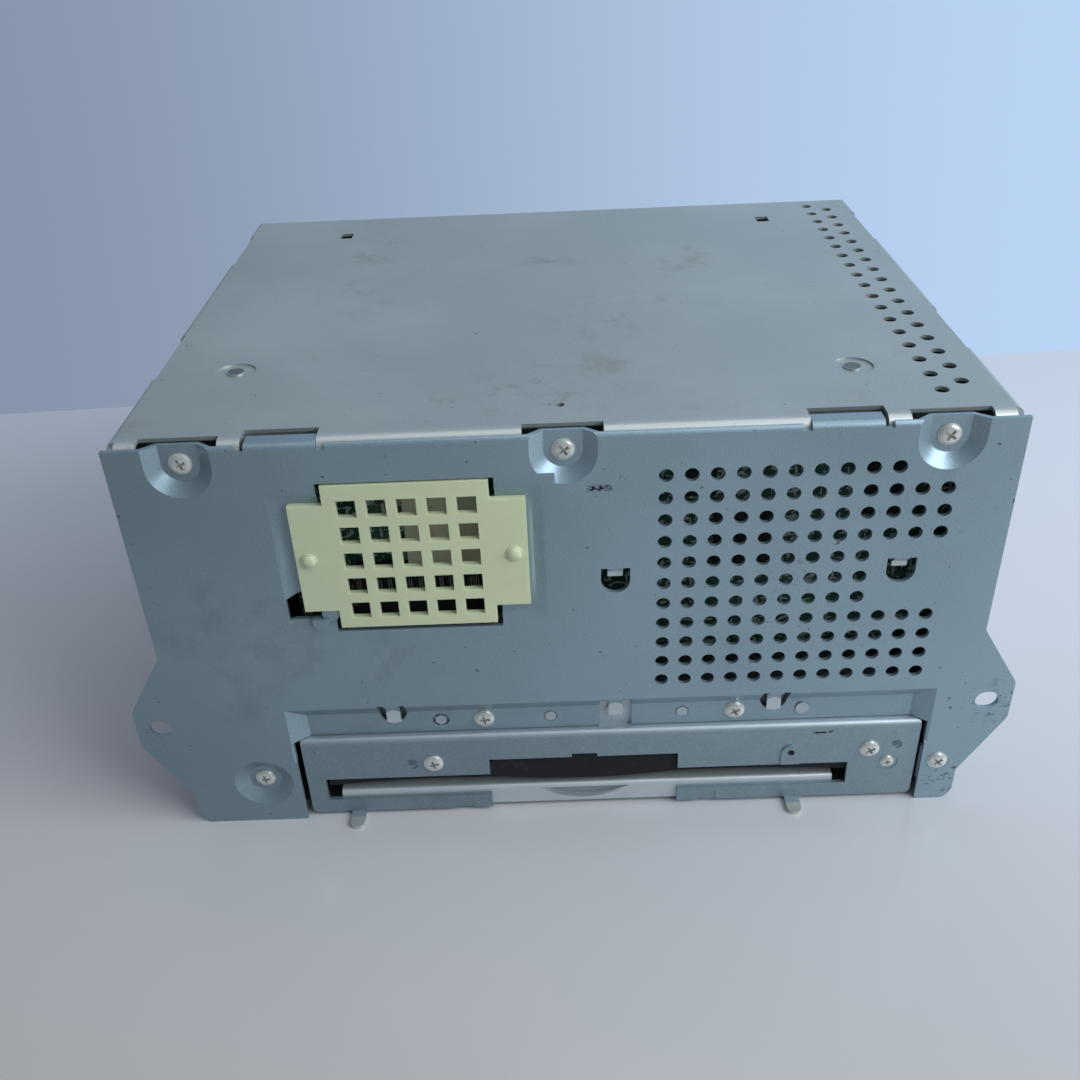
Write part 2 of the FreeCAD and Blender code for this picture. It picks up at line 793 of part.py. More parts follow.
# Cooling and rear connections.
harness = Sizes("harness", middle=-15, width=46, height=26, wall=2, long=22, out=2, hollow=14)
aerial = Sizes("aerial", x=-63, z=56, radius=6, bore=3.6, deep=3, contact=1.2, out=9, flange=8)
board = Sizes("board", thick=1.6, margin=1, front=10, back=5)
board_top = tray.board_z + board.thick
harness_x = (harness.middle - harness.width / 2, harness.middle + harness.width / 2)
harness_z = (board_top, board_top + harness.height)
aerial_at = (aerial.x, aerial.z)
sink = Sizes("sink", left=10, right=78, bottom=12, drop=13, ear=7, count=11, screw_z=50)
sink_screws_at = [(x, sink.screw_z) for x in (sink.left + sink.ear / 2, sink.right - sink.ear / 2)]
rear_screws_at = [
    (side * (inner_half - tray.rear_tab / 2), z + tray.rear_tall / 2) for side in (-1, 1) for z in rear_tabs_z
]


def open_rear_panel():
    """Windows for the connectors and holes for the screws."""
    made = rear_panel
    span = (inside_back - 1, unit.depth + 1)
    cut_box(made, (harness_x[0] - 0.3, harness_x[1] + 0.3), span, (harness_z[0] - 0.3, harness_z[1] + 0.3))
    bore(made, "XZ", span, aerial.radius + 0.3, aerial_at)
    screw_holes(made, "XZ", span, screw.hole, *rear_screws_at, *sink_screws_at)


def make_heat_sink():
    made = body("heat_sink", y=unit.depth)
    z = (sink.bottom, plate.height - sink.drop)
    box(made, (sink.left, sink.right), (0, fins.base), z)
    first = sink.left + sink.ear
    fin = box(made, (first, first + fins.thick), (fins.base, fins.depth), z)
    row(made, fin, "x", fins.pitch, sink.count, grows=True)
    screw_holes(made, "XZ", (-1, fins.base + 1), screw.hole, *sink_screws_at)


def make_harness_socket():
    """Open socket for the wiring plug, with two rows of blades."""
    made = body("harness_socket", y=unit.depth)
    wall = harness.wall
    box(made, harness_x, (harness.out - harness.long, harness.out), harness_z)
    inner_x = (harness_x[0] + wall, harness_x[1] - wall)
    inner_z = (harness_z[0] + wall, harness_z[1] - wall)
    cut_box(made, inner_x, (harness.out - harness.hollow, harness.out + 1), inner_z)
    cut_box(made, (harness.middle - 6, harness.middle + 6), (harness.out - 7, harness.out + 1),
            (harness_z[1] - wall - 1, harness_z[1] + 1))
    for z in (harness_z[0] + 7, harness_z[0] + 17):
        x = harness_x[0] + 6
        blade = box(made, (x, x + 0.8), (harness.out - harness.hollow - 0.5, harness.out - 7), (z, z + 2.4))
        row(made, blade, "x", 5.5, 7, grows=True)


def make_antenna_socket():
    made = body("antenna_socket", y=unit.depth)
    rod(made, "XZ", (-8, aerial.out), aerial.radius, aerial_at)
    shanks(made, "XZ", (0, 1.5), aerial.flange, aerial_at)
    bore(made, "XZ", (-aerial.deep, aerial.out + 1), aerial.bore, aerial_at)
    bore(made, "XZ", (-aerial.deep - 4, -aerial.deep + 1), aerial.contact, aerial_at)


# Boards and what stands on them.
front_board_x = (-60, half_width - 4)
front_board_y = 12
can = Sizes("can", left=-34, right=-17, height=19, above=1.6, deep=4)
comb = Sizes("comb", left=-46, right=-19, height=8, below=10.4, fin=1.1, pitch=2.2)
channel = Sizes("channel", thick=1, drop=8, lip_drop=8, back=12, notch=47.2)


def make_cross_member():
    """Folded channel behind the plate's top edge that takes the upper screws and clips the front board."""
    made = body("cross_member")
    edge = inner_half
    front = pocket_back
    box(made, (-edge, edge), (front, front + channel.thick), (ceiling - channel.drop, ceiling))
    box(made, (-edge, edge), (front, channel.back), (ceiling - channel.thick, ceiling))
    lip = (channel.back - channel.thick, channel.back)
    box(made, (-edge, edge), lip, (ceiling - channel.lip_drop, ceiling))
    cuts = sketch(made, "XY", ceiling - 1.6)
    for x in upper_screw_x:
        rectangle(cuts, (x - cover.slot - 1, x + cover.slot + 1), (front - 1, front + 2.5))
    for side in (-1, 1):
        ends = sorted((side * channel.notch, side * (tongue.outer + 1.1)), key=number)
        rectangle(cuts, ends, (front - 1, front + 3.5))
    pocket(made, cuts)
    screw_holes(made, "XZ", (0, 6), screw.thread_hole, *front_screws_at[:3])


def make_boards():
    main = body("main_board")
    x = inner_half - board.margin
    level = (tray.board_z, board_top)
    box(main, (-x, x), (board.front, unit.depth - board.back), level)
    screw_holes(main, "XY", (tray.board_z - 1, board_top + 1), screw.hole, *board_screws_at)
    front = body("front_board")
    top = plate.height - 4
    box(front, front_board_x, (front_board_y, front_board_y + board.thick), (board_top, top))


def make_front_parts():
    """What shows through the grille and the air holes: a screening can, a comb connector and chips."""
    screen = body("shield_can")
    low = grille_z - can.above
    box(screen, (can.left, can.right), (front_board_y - can.deep, front_board_y), (low, low + can.height))
    connector = body("front_connector")
    z = grille_z - comb.below
    box(connector, (comb.left, comb.right), (front_board_y - 4, front_board_y), (z, z + comb.height))
    x = comb.left + 1.5
    groove_y = (front_board_y - 5, front_board_y - 2)
    cut = cut_box(connector, (x, x + comb.fin), groove_y, (z + 1.5, z + comb.height + 1))
    row(connector, cut, "x", comb.pitch, 11)
    chips = body("front_chips")
    for x, z, width, height, deep in ((32, 62, 14, 14, 1.8), (62, 74, 9, 12, 1.4), (24, 80, 8, 6, 1.2)):
        drop = plate.height - 101 + z
        box(chips, (x, x + width), (front_board_y - deep, front_board_y), (drop, drop + height))


posts_at = [(-52, 20), (-36, 120), (70, 20), (70, 122)]
ledge_screws_at = [(side * (inner_half - 3.5), y + tray.ledge_long / 2) for side in (-1, 1) for y in ledges_y]
board_screws_at = posts_at + ledge_screws_at


def make_main_parts():
    chip = body("amplifier_chip", y=inside_back)
    box(chip, (34, 62), (-5, 0), (board_top + 5, board_top + 21))
    lead = box(chip, (36, 37), (-4.5, -3.7), (board_top, board_top + 6))
    row(chip, lead, "x", 3, 9, grows=True)
    cans = body("main_capacitors")
    rod(cans, "XY", (board_top, board_top + 25), 8, (-24, 96), (-4, 96))
    rod(cans, "XY", (board_top, board_top + 18), 5, (14, 92))
    coil = body("choke_coil", 62, 108, board_top)
    shanks(coil, "XY", (0, 1.4), 13, (0, 0))
    turned(coil, "XZ", "V_Axis", (5, 1.4), (12.5, 1.4), (12.5, 7), (10, 9.5), (7, 9.5), (5, 7))
    tuner = body("tuner_module")
    left, right = aerial.x - 19, aerial.x + 17
    front, back = unit.depth - 36, unit.depth - 8
    top = board_top + 24
    box(tuner, (left, right), (front, back), (board_top, top))
    cut_box(tuner, (left + 3, right - 3), (front + 3, back - 3), (top - 0.6, top + 1))
    chips = body("processor_chips")
    for x, y, width, deep, height in ((-40, 52, 20, 20, 2.4), (14, 46, 14, 14, 1.8), (46, 60, 12, 18, 2)):
        box(chips, (x, x + width), (y, y + deep), (board_top, board_top + height))


# Mechanism: one folded frame on the tray's floor, its bracket filling the plate's bay.
bracket = Sizes(
    "bracket", left=-63.1, right=80.4, front=1, thick=1, shelf=23.8, flange_top=33.5, roll=1.5,
    slot_left=-58.8, slot_right=64.6, slot_low=5, slot_high=11.6,
    notch_left=-19.7, notch_right=24.6, notch_top=16.2,
)
frame = Sizes("frame", left=-62.6, right=79.9, back=133, top=32, thick=1, foot=9, foot_long=12)
frame_window = Sizes("frame_window", long=10, low=18, high=27)
frame_feet_y = [50, 100]
face_screws_at = [(-32.7, 15.8), (69.2, 15.7), (73.8, 11.5)]
floor_top = tray.thick
flange_front = band_back
frame_front = flange_front + bracket.thick


def make_mech_bracket():
    """Folded face of the mechanism: slot with a finger notch, rolled top edge, flange behind the band."""
    made = body("mech_bracket")
    front, back = bracket.front, bracket.front + bracket.thick
    shelf = bracket.shelf
    slab(
        made, "YZ", (bracket.left, bracket.right),
        (front, floor_top),
        (back, floor_top),
        (back, shelf - bracket.thick),
        (frame_front, shelf - bracket.thick),
        (frame_front, bracket.flange_top),
        (flange_front, bracket.flange_top),
        (flange_front, shelf),
        (front + bracket.roll, shelf, QUARTER * bracket.roll),
        (front, shelf - bracket.roll),
    )
    for x in (bracket.left, bracket.right - bracket.thick):
        box(made, (x, x + bracket.thick), (back - 0.2, frame_front), (floor_top, shelf - 0.5))
    sides = bracket.left, bracket.right
    fillet(made, 1.5, lambda m, d: abs(d.y) > 0.9 and near(m.z, floor_top) and near(m.x, *sides))
    opening = sketch(made)
    left, right = bracket.slot_left, bracket.slot_right
    low, high = bracket.slot_low, bracket.slot_high
    outline(
        opening,
        (left, low), (bracket.notch_left, low), (bracket.notch_left, floor_top - 1),
        (bracket.notch_right, floor_top - 1), (bracket.notch_right, low), (right, low), (right, high),
        (bracket.notch_right, high), (bracket.notch_right, bracket.notch_top), (5.7, bracket.notch_top),
        (5.7, bracket.notch_top + 1), (-0.3, bracket.notch_top + 1), (-0.3, bracket.notch_top),
        (bracket.notch_left, bracket.notch_top), (bracket.notch_left, high), (left, high),
    )
    pocket(made, opening, back + 0.5)
    for x in (-28.6, 29.5):
        cut_box(made, (x, x + 4.4), (0, front + 0.3), (floor_top - 1, floor_top + 2.4))
    pegs_at = [(x, band.middle) for x in (peg.oval, peg.left, peg.right)]
    shanks(made, "XZ", (band.depth - 0.1, flange_front), peg.hole - 0.2, *pegs_at)
    rod(made, "XZ", (band.depth - 0.4, flange_front), peg.hole - 0.1, (peg.button, band.middle))
    rod(made, "XZ", (flange_front - 0.5, flange_front), groove.ring, (groove.middle, groove.ring_z))
    holes = sketch(made)
    hexagon(holes, (groove.middle, groove.ring_z), 1.4)
    hexagon(holes, (50.9, 15.4), 0.8)
    for centre in face_screws_at + band_screws_at:
        hexagon(holes, centre, screw.thread_hole)
    pocket(made, holes)


def make_mech_frame():
    made = body("mech_frame")
    left, right, back, top, thick = frame.left, frame.right, frame.back, frame.top, frame.thick
    box(made, (left, right), (frame_front, back), (floor_top, top))
    cut_box(made, (left + thick, right - thick), (frame_front - 1, back - thick), (0, top - thick))
    for x in ((left - frame.foot, left + thick), (right - thick, right + 7.2)):
        for y in frame_feet_y:
            box(made, x, (y, y + frame.foot_long), (floor_top, floor_top + thick))
    for x in (hinge.left - 1.2, hinge.right):
        box(made, (x, x + 1.2), (hinge.y - 4, back - 0.5), (floor_top + 0.2, hinge.z + 4))
    windows = sketch(made, "YZ", left - 20)
    for y in (30, 66, 88):
        rectangle(windows, (y, y + frame_window.long), (frame_window.low, frame_window.high))
    pocket(made, windows)
    cut_box(made, (-30, 36), (42, 100), (top - 2, top + 1))
    bore(made, "YZ", (hinge.left - 2, hinge.right + 2), hinge.pin, (hinge.y, hinge.z))
    screw_holes(made, "XY", (0, 3), screw.hole, *mech_screws_at)
    screw_holes(made, "XY", (top - 2, top + 1), screw.thread_hole, *posts_at)


guide = Sizes(
    "guide", left=-55.7, right=61.7, top=6.6, thick=0.8, bend=1.15, front=2.05, back=18, apron_low=1.2,
)
hinge = Sizes("hinge", left=-19.5, right=25, y=128, z=4, pin=1)
disc = Sizes("disc", x=2.8, y=68, radius=60)
mech_screws_at = [
    (x, y + frame.foot_long / 2) for x in (frame.left - 5, frame.right + 3.6) for y in frame_feet_y
]


def make_guide_plate():
    """Bright lower guide with a bent lip, an apron in the finger notch and a crescent scoop."""
    made = body("guide_plate")
    front, top, thick = guide.front, guide.top, guide.thick
    inner = guide.bend - thick

    def folded(span, low):
        slab(
            made, "YZ", span,
            (front, low),
            (front + thick, low),
            (front + thick, top - guide.bend, -QUARTER * inner),
            (front + guide.bend, top - thick),
            (guide.back, top - thick),
            (guide.back, top),
            (front + guide.bend, top, QUARTER * guide.bend),
            (front, top - guide.bend),
        )

    folded((guide.left, guide.right), top - guide.bend - 0.7)
    folded((-28.7, 33.6), guide.apron_low)
    for x in (guide.left, guide.right - thick):
        box(made, (x, x + thick), (8, guide.back), (floor_top, top - 0.4))
        foot = sorted((x + thick / 2, x + (7 if x is guide.left else -6)), key=number)
        box(made, foot, (9, guide.back - 1), (floor_top, floor_top + thick))
    scoop = sketch(made)
    outline(scoop, (disc.x - 10.7, 5.6, 2.2), (disc.x + 10.7, 5.6))
    pocket(made, scoop, front + 0.5)


def make_slot_guide():
    """Black moulded upper guide whose lower edge keeps clear of the disc's playing face."""
    made = body("slot_guide")
    x = disc.x
    mouth = disc.radius + 1
    slab(
        made, "XZ", (bracket.front + bracket.thick, bracket.front + bracket.thick + 1),
        (x - mouth, 8.8, -0.6),
        (x - 20, 9.8, 1.2),
        (x + 20, 9.8, -0.6),
        (x + mouth, 8.8),
        (x + 74, 8.8),
        (x + 74, 18.6),
        (x + 24, 18.6),
        (x + 24, 14.2, 3.6),
        (x - 24, 14.2),
        (x - 24, 18.6),
        (x - 40, 18.6),
        (x - 40, 13.4),
        (x - mouth, 13.4),
    )
    screw_holes(made, "XZ", (0, 5), screw.thread_hole, *face_screws_at)


# Loading roller on its swinging arm, driven through gears by a flat motor.
swing = Sizes("swing", y=20, z=14, pin=1.5, play=0.05, left=-58.5, right=62.6, thick=1.2)
roller = Sizes("roller", shaft=1.5, end=4.4, gear=4.5, long=50, inner=6, gear_x=64.5, gear_wide=3)
idler = Sizes("idler", radius=6.5, teeth=26, roller_teeth=18)
worm = Sizes("worm", x=66, z=24.6, shaft=1, play=0.5)
motor = Sizes("motor", front=28, back=47, radius=6, flat=1.5)

# The roller hangs in front of the arm's pivot, where its gear meets the idler, and the worm lies above.
ARM_SLOPE = math.radians(12.6)
mesh_distance = idler.radius + roller.gear
roller_y = swing.y - math.cos(ARM_SLOPE) * mesh_distance
roller_z = swing.z - math.sin(ARM_SLOPE) * mesh_distance
worm_radius = worm.z - swing.z - idler.radius - worm.play


def make_roller_arm():
    made = body("roller_arm", 0, swing.y, swing.z)
    tip = (roller_y - swing.y, roller_z - swing.z)
    y, z = tip
    for x in (swing.left, swing.right):
        slab(
            made, "YZ", (x, x + swing.thick),
            (-3.6, 4.6),
            (y - 2.6, z + 3.4),
            (y - 3.6, z),
            (y - 2.4, z - 3),
            (y + 1, z - 3.4),
            (1.6, -3.4),
            (3.6, 0),
            (1.2, 4.6),
        )
    box(made, (swing.left + 0.4, swing.right + 0.8), (-3, -1), (3, 4.5))
    box(made, (2, 9), (-5.5, -2.5), (3.2, 4.5))
    across = (swing.left - 1, swing.right + 2)
    bore(made, "YZ", across, swing.pin + swing.play, (0, 0))
    bore(made, "YZ", across, roller.shaft + swing.play, tip)


def make_pivot_pins():
    made = body("pivot_pins", 0, swing.y, swing.z)
    rod(made, "YZ", (frame.left + frame.thick, swing.left + 1.7), swing.pin, (0, 0))
    rod(made, "YZ", (swing.right - 0.2, frame.right - frame.thick), swing.pin, (0, 0))


def make_roller():
    shaft = body("roller_shaft", 0, roller_y, roller_z)
    rod(shaft, "YZ", (swing.left - 0.7, roller.gear_x + roller.gear_wide + 0.5), roller.shaft, (0, 0))
    rubber = body("roller_rubber", disc.x, roller_y, roller_z)
    for side in (-1, 1):
        ends = sorted((side * roller.inner, side * (roller.inner + roller.long)), key=number)
        sleeve = sketch(rubber, "YZ", ends[0])
        circle(sleeve, (0, 0), roller.end)
        circle(sleeve, (0, 0), roller.shaft)
        pad(rubber, sleeve, roller.long)
    toothed("roller_gear", roller_y, roller_z, roller.gear, idler.roller_teeth / 2, roller.shaft)
    toothed("idler_gear", swing.y, swing.z, idler.radius, idler.teeth / 2, swing.pin + swing.play)


def toothed(label, y, z, radius, count, hole):
    """A spur gear with straight coarse teeth that stop short of the pitch circle, so no pose overlaps."""
    made = body(label, roller.gear_x, y, z)
    wide = roller.gear_wide
    shanks(made, "YZ", (0, wide), radius - 1.2, (0, 0))
    half = math.pi * number(radius) / number(count) / 2
    root, crest = radius - 1.9, radius - 0.12
    tooth = slab(
        made, "YZ", (0, wide),
        (-0.9 * half, root),
        (0.9 * half, root),
        (0.45 * half, crest),
        (-0.45 * half, crest),
    )
    ring(made, tooth, "x", count)
    bore(made, "YZ", (-1, wide + 1), hole, (0, 0))


def make_loading_drive():
    screw_gear = body("loading_worm", worm.x, 0, worm.z)
    rod(screw_gear, "XZ", (15.5, 31), worm.shaft, (0, 0))
    shanks(screw_gear, "XZ", (15.5, 25.4), worm_radius - 0.9, (0, 0))
    thread = shanks(screw_gear, "XZ", (16.2, 17.2), worm_radius, (0, 0))
    row(screw_gear, thread, "y", 2.4, 4, grows=True)
    can_body = body("loading_motor", worm.x, 0, worm.z)
    casing = sketch(can_body, "XZ", motor.front)
    capsule(casing, (-motor.flat, 0), (motor.flat, 0), motor.radius)
    pad(can_body, casing, motor.back - motor.front)
    shanks(can_body, "XZ", (motor.front - 1.2, motor.front), 2.4, (0, 0))
    bore(can_body, "XZ", (motor.front - 2, 32), worm.shaft + 0.05, (0, 0))
    holder = body("motor_bracket", worm.x)
    box(holder, (-8.5, 8.5), (motor.front - 1, motor.front), (18, frame.top - frame.thick))
    under = frame.top - frame.thick
    box(holder, (-8.5, 8.5), (motor.front - 7, motor.front), (under - frame.thick, under))
    screw_holes(holder, "XZ", (motor.front - 2, motor.front + 1), 2.8, (0, worm.z))


# Floating chassis with the turntable above the disc, the reader and its feed.
chassis = Sizes("chassis", left=-45, right=77, front=28, back=116, low=13, high=14.2)
rail = Sizes("rail", reach=18, z=16.2, radius=1.5, start=8, play=0.05)
lens = Sizes("lens", x=26.8, low=11.5)
feed = Sizes("feed", y=94, z=20.4, radius=1.5, motor=6.2, start=4.5)
spindle = Sizes(
    "spindle", motor=12.2, shaft=1, flange=15.5, flange_low=10.8, flange_high=12.3, tip=8.7, hub=7.3,
    top=20.2, collar=2.6,
)
damper_at = [(-38, 34), (-38, 108), (70, 108), (42, 34)]
rails_at = [(disc.y - rail.reach, rail.z), (disc.y + rail.reach, rail.z)]


def make_traverse_plate():
    made = body("traverse_plate")
    low, high = chassis.low, chassis.high
    sheet_cut = sketch(made, "XY", low)
    rectangle(sheet_cut, (chassis.left, chassis.right), (chassis.front, chassis.back))
    rectangle(sheet_cut, (15.6, 74.5), (disc.y - 14.5, disc.y + 14.5))
    pad(made, sheet_cut, high - low)
    for y, z in rails_at:
        for x in (rail.start, chassis.right - 2.2):
            box(made, (x, x + 2.2), (y - 3, y + 3), (high - 0.4, z + 2.4))
    box(made, (chassis.right - 2.2, chassis.right), (feed.y - 3, feed.y + 3), (high - 0.4, feed.z + 2.6))
    across_corners = rail.radius / math.cos(math.pi / 6)
    screw_holes(made, "YZ", (rail.start - 1, chassis.right + 1), across_corners, *rails_at)
    bore(made, "YZ", (chassis.right - 3, chassis.right + 1), feed.radius + rail.play, (feed.y, feed.z))
    bore(made, "XY", (low - 1, high + 1), 3.4, (disc.x, disc.y))
    screw_holes(made, "XY", (low - 1, high + 1), 1.8, *damper_at)


def make_dampers():
    """Rubber bushes at the corners and the pins that hang the chassis from the frame's top."""
    bushes = body("dampers")
    shanks(bushes, "XY", (chassis.high, chassis.high + 6), 4.5, *damper_at)
    screw_holes(bushes, "XY", (chassis.high - 1, chassis.high + 7), 1.8, *damper_at)
    pins = body("damper_pins")
    shanks(pins, "XY", (chassis.low - 1.2, frame.top - frame.thick), 1.5, *damper_at)
    shanks(pins, "XY", (chassis.low - 1.2, chassis.low), 2.9, *damper_at)


def make_spindle():
    drive = body("spindle_motor", disc.x, disc.y)
    rod(drive, "XY", (chassis.high, 21), spindle.motor, (0, 0))
    shanks(drive, "XY", (21, 22), 8, (0, 0))
    bore(drive, "XY", (chassis.high - 1, 20.6), spindle.shaft + 0.05, (0, 0))
    table = body("turntable", disc.x, disc.y)
    turned(
        table, "XZ", "V_Axis",
        (0, spindle.tip),
        (spindle.hub - 1.5, spindle.tip),
        (spindle.hub, spindle.tip + 0.8),
        (spindle.hub, spindle.flange_low),
        (spindle.flange, spindle.flange_low),
        (spindle.flange, spindle.flange_high),
        (spindle.collar, spindle.flange_high),
        (spindle.shaft, spindle.flange_high + 0.6),
        (spindle.shaft, spindle.top),
        (0, spindle.top),
    )


def make_reader():
    rods = body("guide_rods")
    rod(rods, "YZ", (rail.start, chassis.right), rail.radius, *rails_at)
    sled = body("pickup_body", lens.x, disc.y)
    box(sled, (-10.8, 11.2), (-14, 14), (12.4, 19))
    for side in (-1, 1):
        ends = sorted((side * 13.5, side * (rail.reach + 2.8)), key=number)
        box(sled, (-9.8, 10.2), ends, (14.6, 18.4))
    box(sled, (-3, 3), (rail.reach + 2.4, feed.y - disc.y - feed.radius - 0.3), (14.6, 22))
    cut_box(sled, (-4, 12), (-10, 10), (16.5, 20))
    bore(sled, "YZ", (-12, 12), rail.radius + rail.play, (-rail.reach, rail.z), (rail.reach, rail.z))
    glass = body("pickup_lens", lens.x, disc.y)
    turned(glass, "XZ", "V_Axis", (0, lens.low, 0.25), (2.6, lens.low + 0.3), (4, 12.1), (4, 12.4), (0, 12.4))
    screw_rod = body("lead_screw", 0, feed.y, feed.z)
    rod(screw_rod, "YZ", (feed.start, chassis.right - 0.4), feed.radius, (0, 0))
    feed_motor = body("sled_motor", 0, feed.y, feed.z)
    rod(feed_motor, "YZ", (-16, 7.5), feed.motor, (0, 0))
    bore(feed_motor, "YZ", (feed.start - 0.5, 8), feed.radius + rail.play, (0, 0))


# Clamp below the disc, the slide that works it and the two levers that feel the disc.
clamp = Sizes("clamp", radius=15, play=0.9, pin=3, pin_low=2.8, low=3.6, floor=4.5, high=6.3)
lever = Sizes("lever", left=-50, right=55.6, y=42, low=15.6, thick=1, pin=1.2, play=0.05, boss=3.4)


def make_clamp():
    arm = body("clamp_arm", 0, hinge.y, hinge.z)
    y = -hinge.y
    slab(
        arm, "XY", (-2, -1.2),
        (-6, 52 + y),
        (12, 52 + y),
        (18, 60 + y),
        (18, 110 + y),
        (hinge.right - 1.5, -1.5),
        (hinge.left + 1, -1.5),
        (-12, 110 + y),
        (-12, 60 + y),
    )
    cut_box(arm, (-4, 9.6), (92 + y, 112 + y), (-3, 0))
    shanks(arm, "YZ", (hinge.left + 0.5, hinge.right - 0.5), 2.2, (0, 0))
    bore(arm, "YZ", (hinge.left, hinge.right), hinge.pin + 0.05, (0, 0))
    pin = body("clamp_hinge_pin", 0, hinge.y, hinge.z)
    rod(pin, "YZ", (hinge.left - 1.6, hinge.right + 1.6), hinge.pin, (0, 0))
    puck = body("clamp_disc", disc.x, disc.y)
    inner = spindle.hub + clamp.play
    turned(
        puck, "XZ", "V_Axis",
        (0, clamp.pin_low),
        (clamp.pin, clamp.pin_low),
        (clamp.pin, clamp.low),
        (clamp.radius, clamp.low),
        (clamp.radius, clamp.high),
        (inner, clamp.high),
        (inner, clamp.floor),
        (0, clamp.floor),
    )


def make_levers():
    slide = body("cam_slider", frame.left + frame.thick)
    slab(
        slide, "YZ", (0, 1.2),
        (24, 4),
        (110, 4),
        (110, 12),
        (84, 12),
        (80, 16),
        (40, 16),
        (36, 12),
        (24, 12),
    )
    cut = sketch(slide, "YZ", 0)
    for y in (46, 64, 92):
        rectangle(cut, (y, y + 10), (6.4, 9.6))
    pocket(slide, cut, 1.2)
    high = lever.low + lever.thick
    for label, x, side in (("left_lever", lever.left, 1), ("right_lever", lever.right, -1)):
        made = body(label, x, lever.y)
        arm = [(-3.2, 1.6), (3.2, 1.6), (side * 3 + 2, -19.4), (side * 3 - 2, -19.4)]
        slab(made, "XY", (lever.low, high), *arm)
        shanks(made, "XY", (lever.low, high + 2), lever.boss, (0, 0))
        shanks(made, "XY", (7, high), 1.5, (side * 3, -17.7))
        bore(made, "XY", (lever.low - 1, high + 3), lever.pin + lever.play, (0, 0))
    pins = body("lever_pins")
    pivots = [(lever.left, lever.y), (lever.right, lever.y)]
    rod(pins, "XY", (lever.low - 0.6, frame.top - frame.thick), lever.pin, *pivots)
    shanks(pins, "XY", (lever.low - 0.6, lever.low), 2.2, *pivots)


def make_mech_board():
    made = body("mech_board")
    box(made, (-45, 55), (30, 112), (frame.top, frame.top + board.thick))
    box(made, (-12, 14), (34, 40), (frame.top + board.thick - 0.2, frame.top + 5))
    for x, y, side in ((-30, 60, 12), (20, 66, 9)):
        box(made, (x, x + side), (y, y + side), (frame.top + board.thick - 0.2, frame.top + 3.2))


# Fasteners, one node for each set of equal screws.
def make_screws():
    upper = body("front_screws")
    heads = screw.head_height
    for centre, seat_y in zip(front_screws_at, [upper_screw.depth] * 3 + [dimple.depth, 0]):
        rod(upper, "XZ", (seat_y - heads, seat_y), screw.head, centre)
        shanks(upper, "XZ", (seat_y, seat_y + screw.front_long), screw.shank, centre)
    sunk = body("band_screws")
    rod(sunk, "XZ", (band.depth - heads, band.depth), screw.head, *band_screws_at)
    shanks(sunk, "XZ", (band.depth, band.depth + screw.band_long), screw.shank, *band_screws_at)
    face = body("bracket_screws")
    rod(face, "XZ", (bracket.front - heads, bracket.front), screw.head, *face_screws_at[:2])
    rod(face, "XZ", (bracket.front - screw.small_height, bracket.front), screw.small_head, face_screws_at[2])
    shanks(face, "XZ", (bracket.front, bracket.front + screw.bracket_long), screw.shank, *face_screws_at)
    rear = body("rear_screws", y=unit.depth)
    shanks(rear, "XZ", (0, heads), screw.head, *rear_screws_at)
    shanks(rear, "XZ", (-2.6, 0), screw.shank, *rear_screws_at)
    shanks(rear, "XZ", (fins.base, fins.base + heads), screw.head, *sink_screws_at)
    shanks(rear, "XZ", (-1.2, fins.base), screw.shank, *sink_screws_at)
    boards = body("board_screws")
    shanks(boards, "XY", (board_top, board_top + heads), screw.head, *board_screws_at)
    shanks(boards, "XY", (tray.board_z - 0.9, board_top), screw.shank, *board_screws_at)
    posts = body("board_standoffs")
    shanks(posts, "XY", (frame.top, tray.board_z), 3, *posts_at)
    screw_holes(posts, "XY", (tray.board_z - 3, tray.board_z + 1), screw.thread_hole, *posts_at)
    feet = body("mech_screws")
    foot_top = floor_top + frame.thick
    shanks(feet, "XY", (foot_top, foot_top + heads), screw.head, *mech_screws_at)
    shanks(feet, "XY", (0.2, foot_top), screw.shank, *mech_screws_at)
    sides = body("side_screws")
    for face_x, out in ((-cover_half, -1), (cover_half, 1)):
        head = sorted((face_x, face_x + out * heads), key=number)
        shank = sorted((face_x - out * 2.8, face_x), key=number)
        shanks(sides, "YZ", head, screw.head, *side_screws_at)
        shanks(sides, "YZ", shank, screw.shank, *side_screws_at)


def pierce_for_screws():
    """Holes of the tray and the cover that the screws pass through or bite into."""
    across = (-plate.width, plate.width)
    screw_holes(top_cover, "YZ", across, screw.thread_hole, *side_screws_at)
    screw_holes(chassis_tray, "YZ", across, screw.thread_hole, *side_screws_at)
    screw_holes(chassis_tray, "XZ", (inside_back - 2, inside_back + 1), screw.thread_hole, *rear_screws_at)
    screw_holes(chassis_tray, "XZ", (0, 5), screw.thread_hole, *front_screws_at[3:])
    screw_holes(chassis_tray, "XY", (-1, 2), screw.thread_hole, *mech_screws_at)
    screw_holes(chassis_tray, "XY", (tray.board_z - 2, tray.board_z + 1), screw.thread_hole, *ledge_screws_at)
    bore(chassis_tray, "YZ", across, side_mount.radius, *side_mounts_at)


side_mount = Sizes("side_mount", radius=2.1, z=22, first=38, pitch=70)
side_mounts_at = [(side_mount.first, side_mount.z), (side_mount.first + side_mount.pitch, side_mount.z)]
side_screws_at = [(24, roof - 8), (unit.depth - 22, roof - 8)]

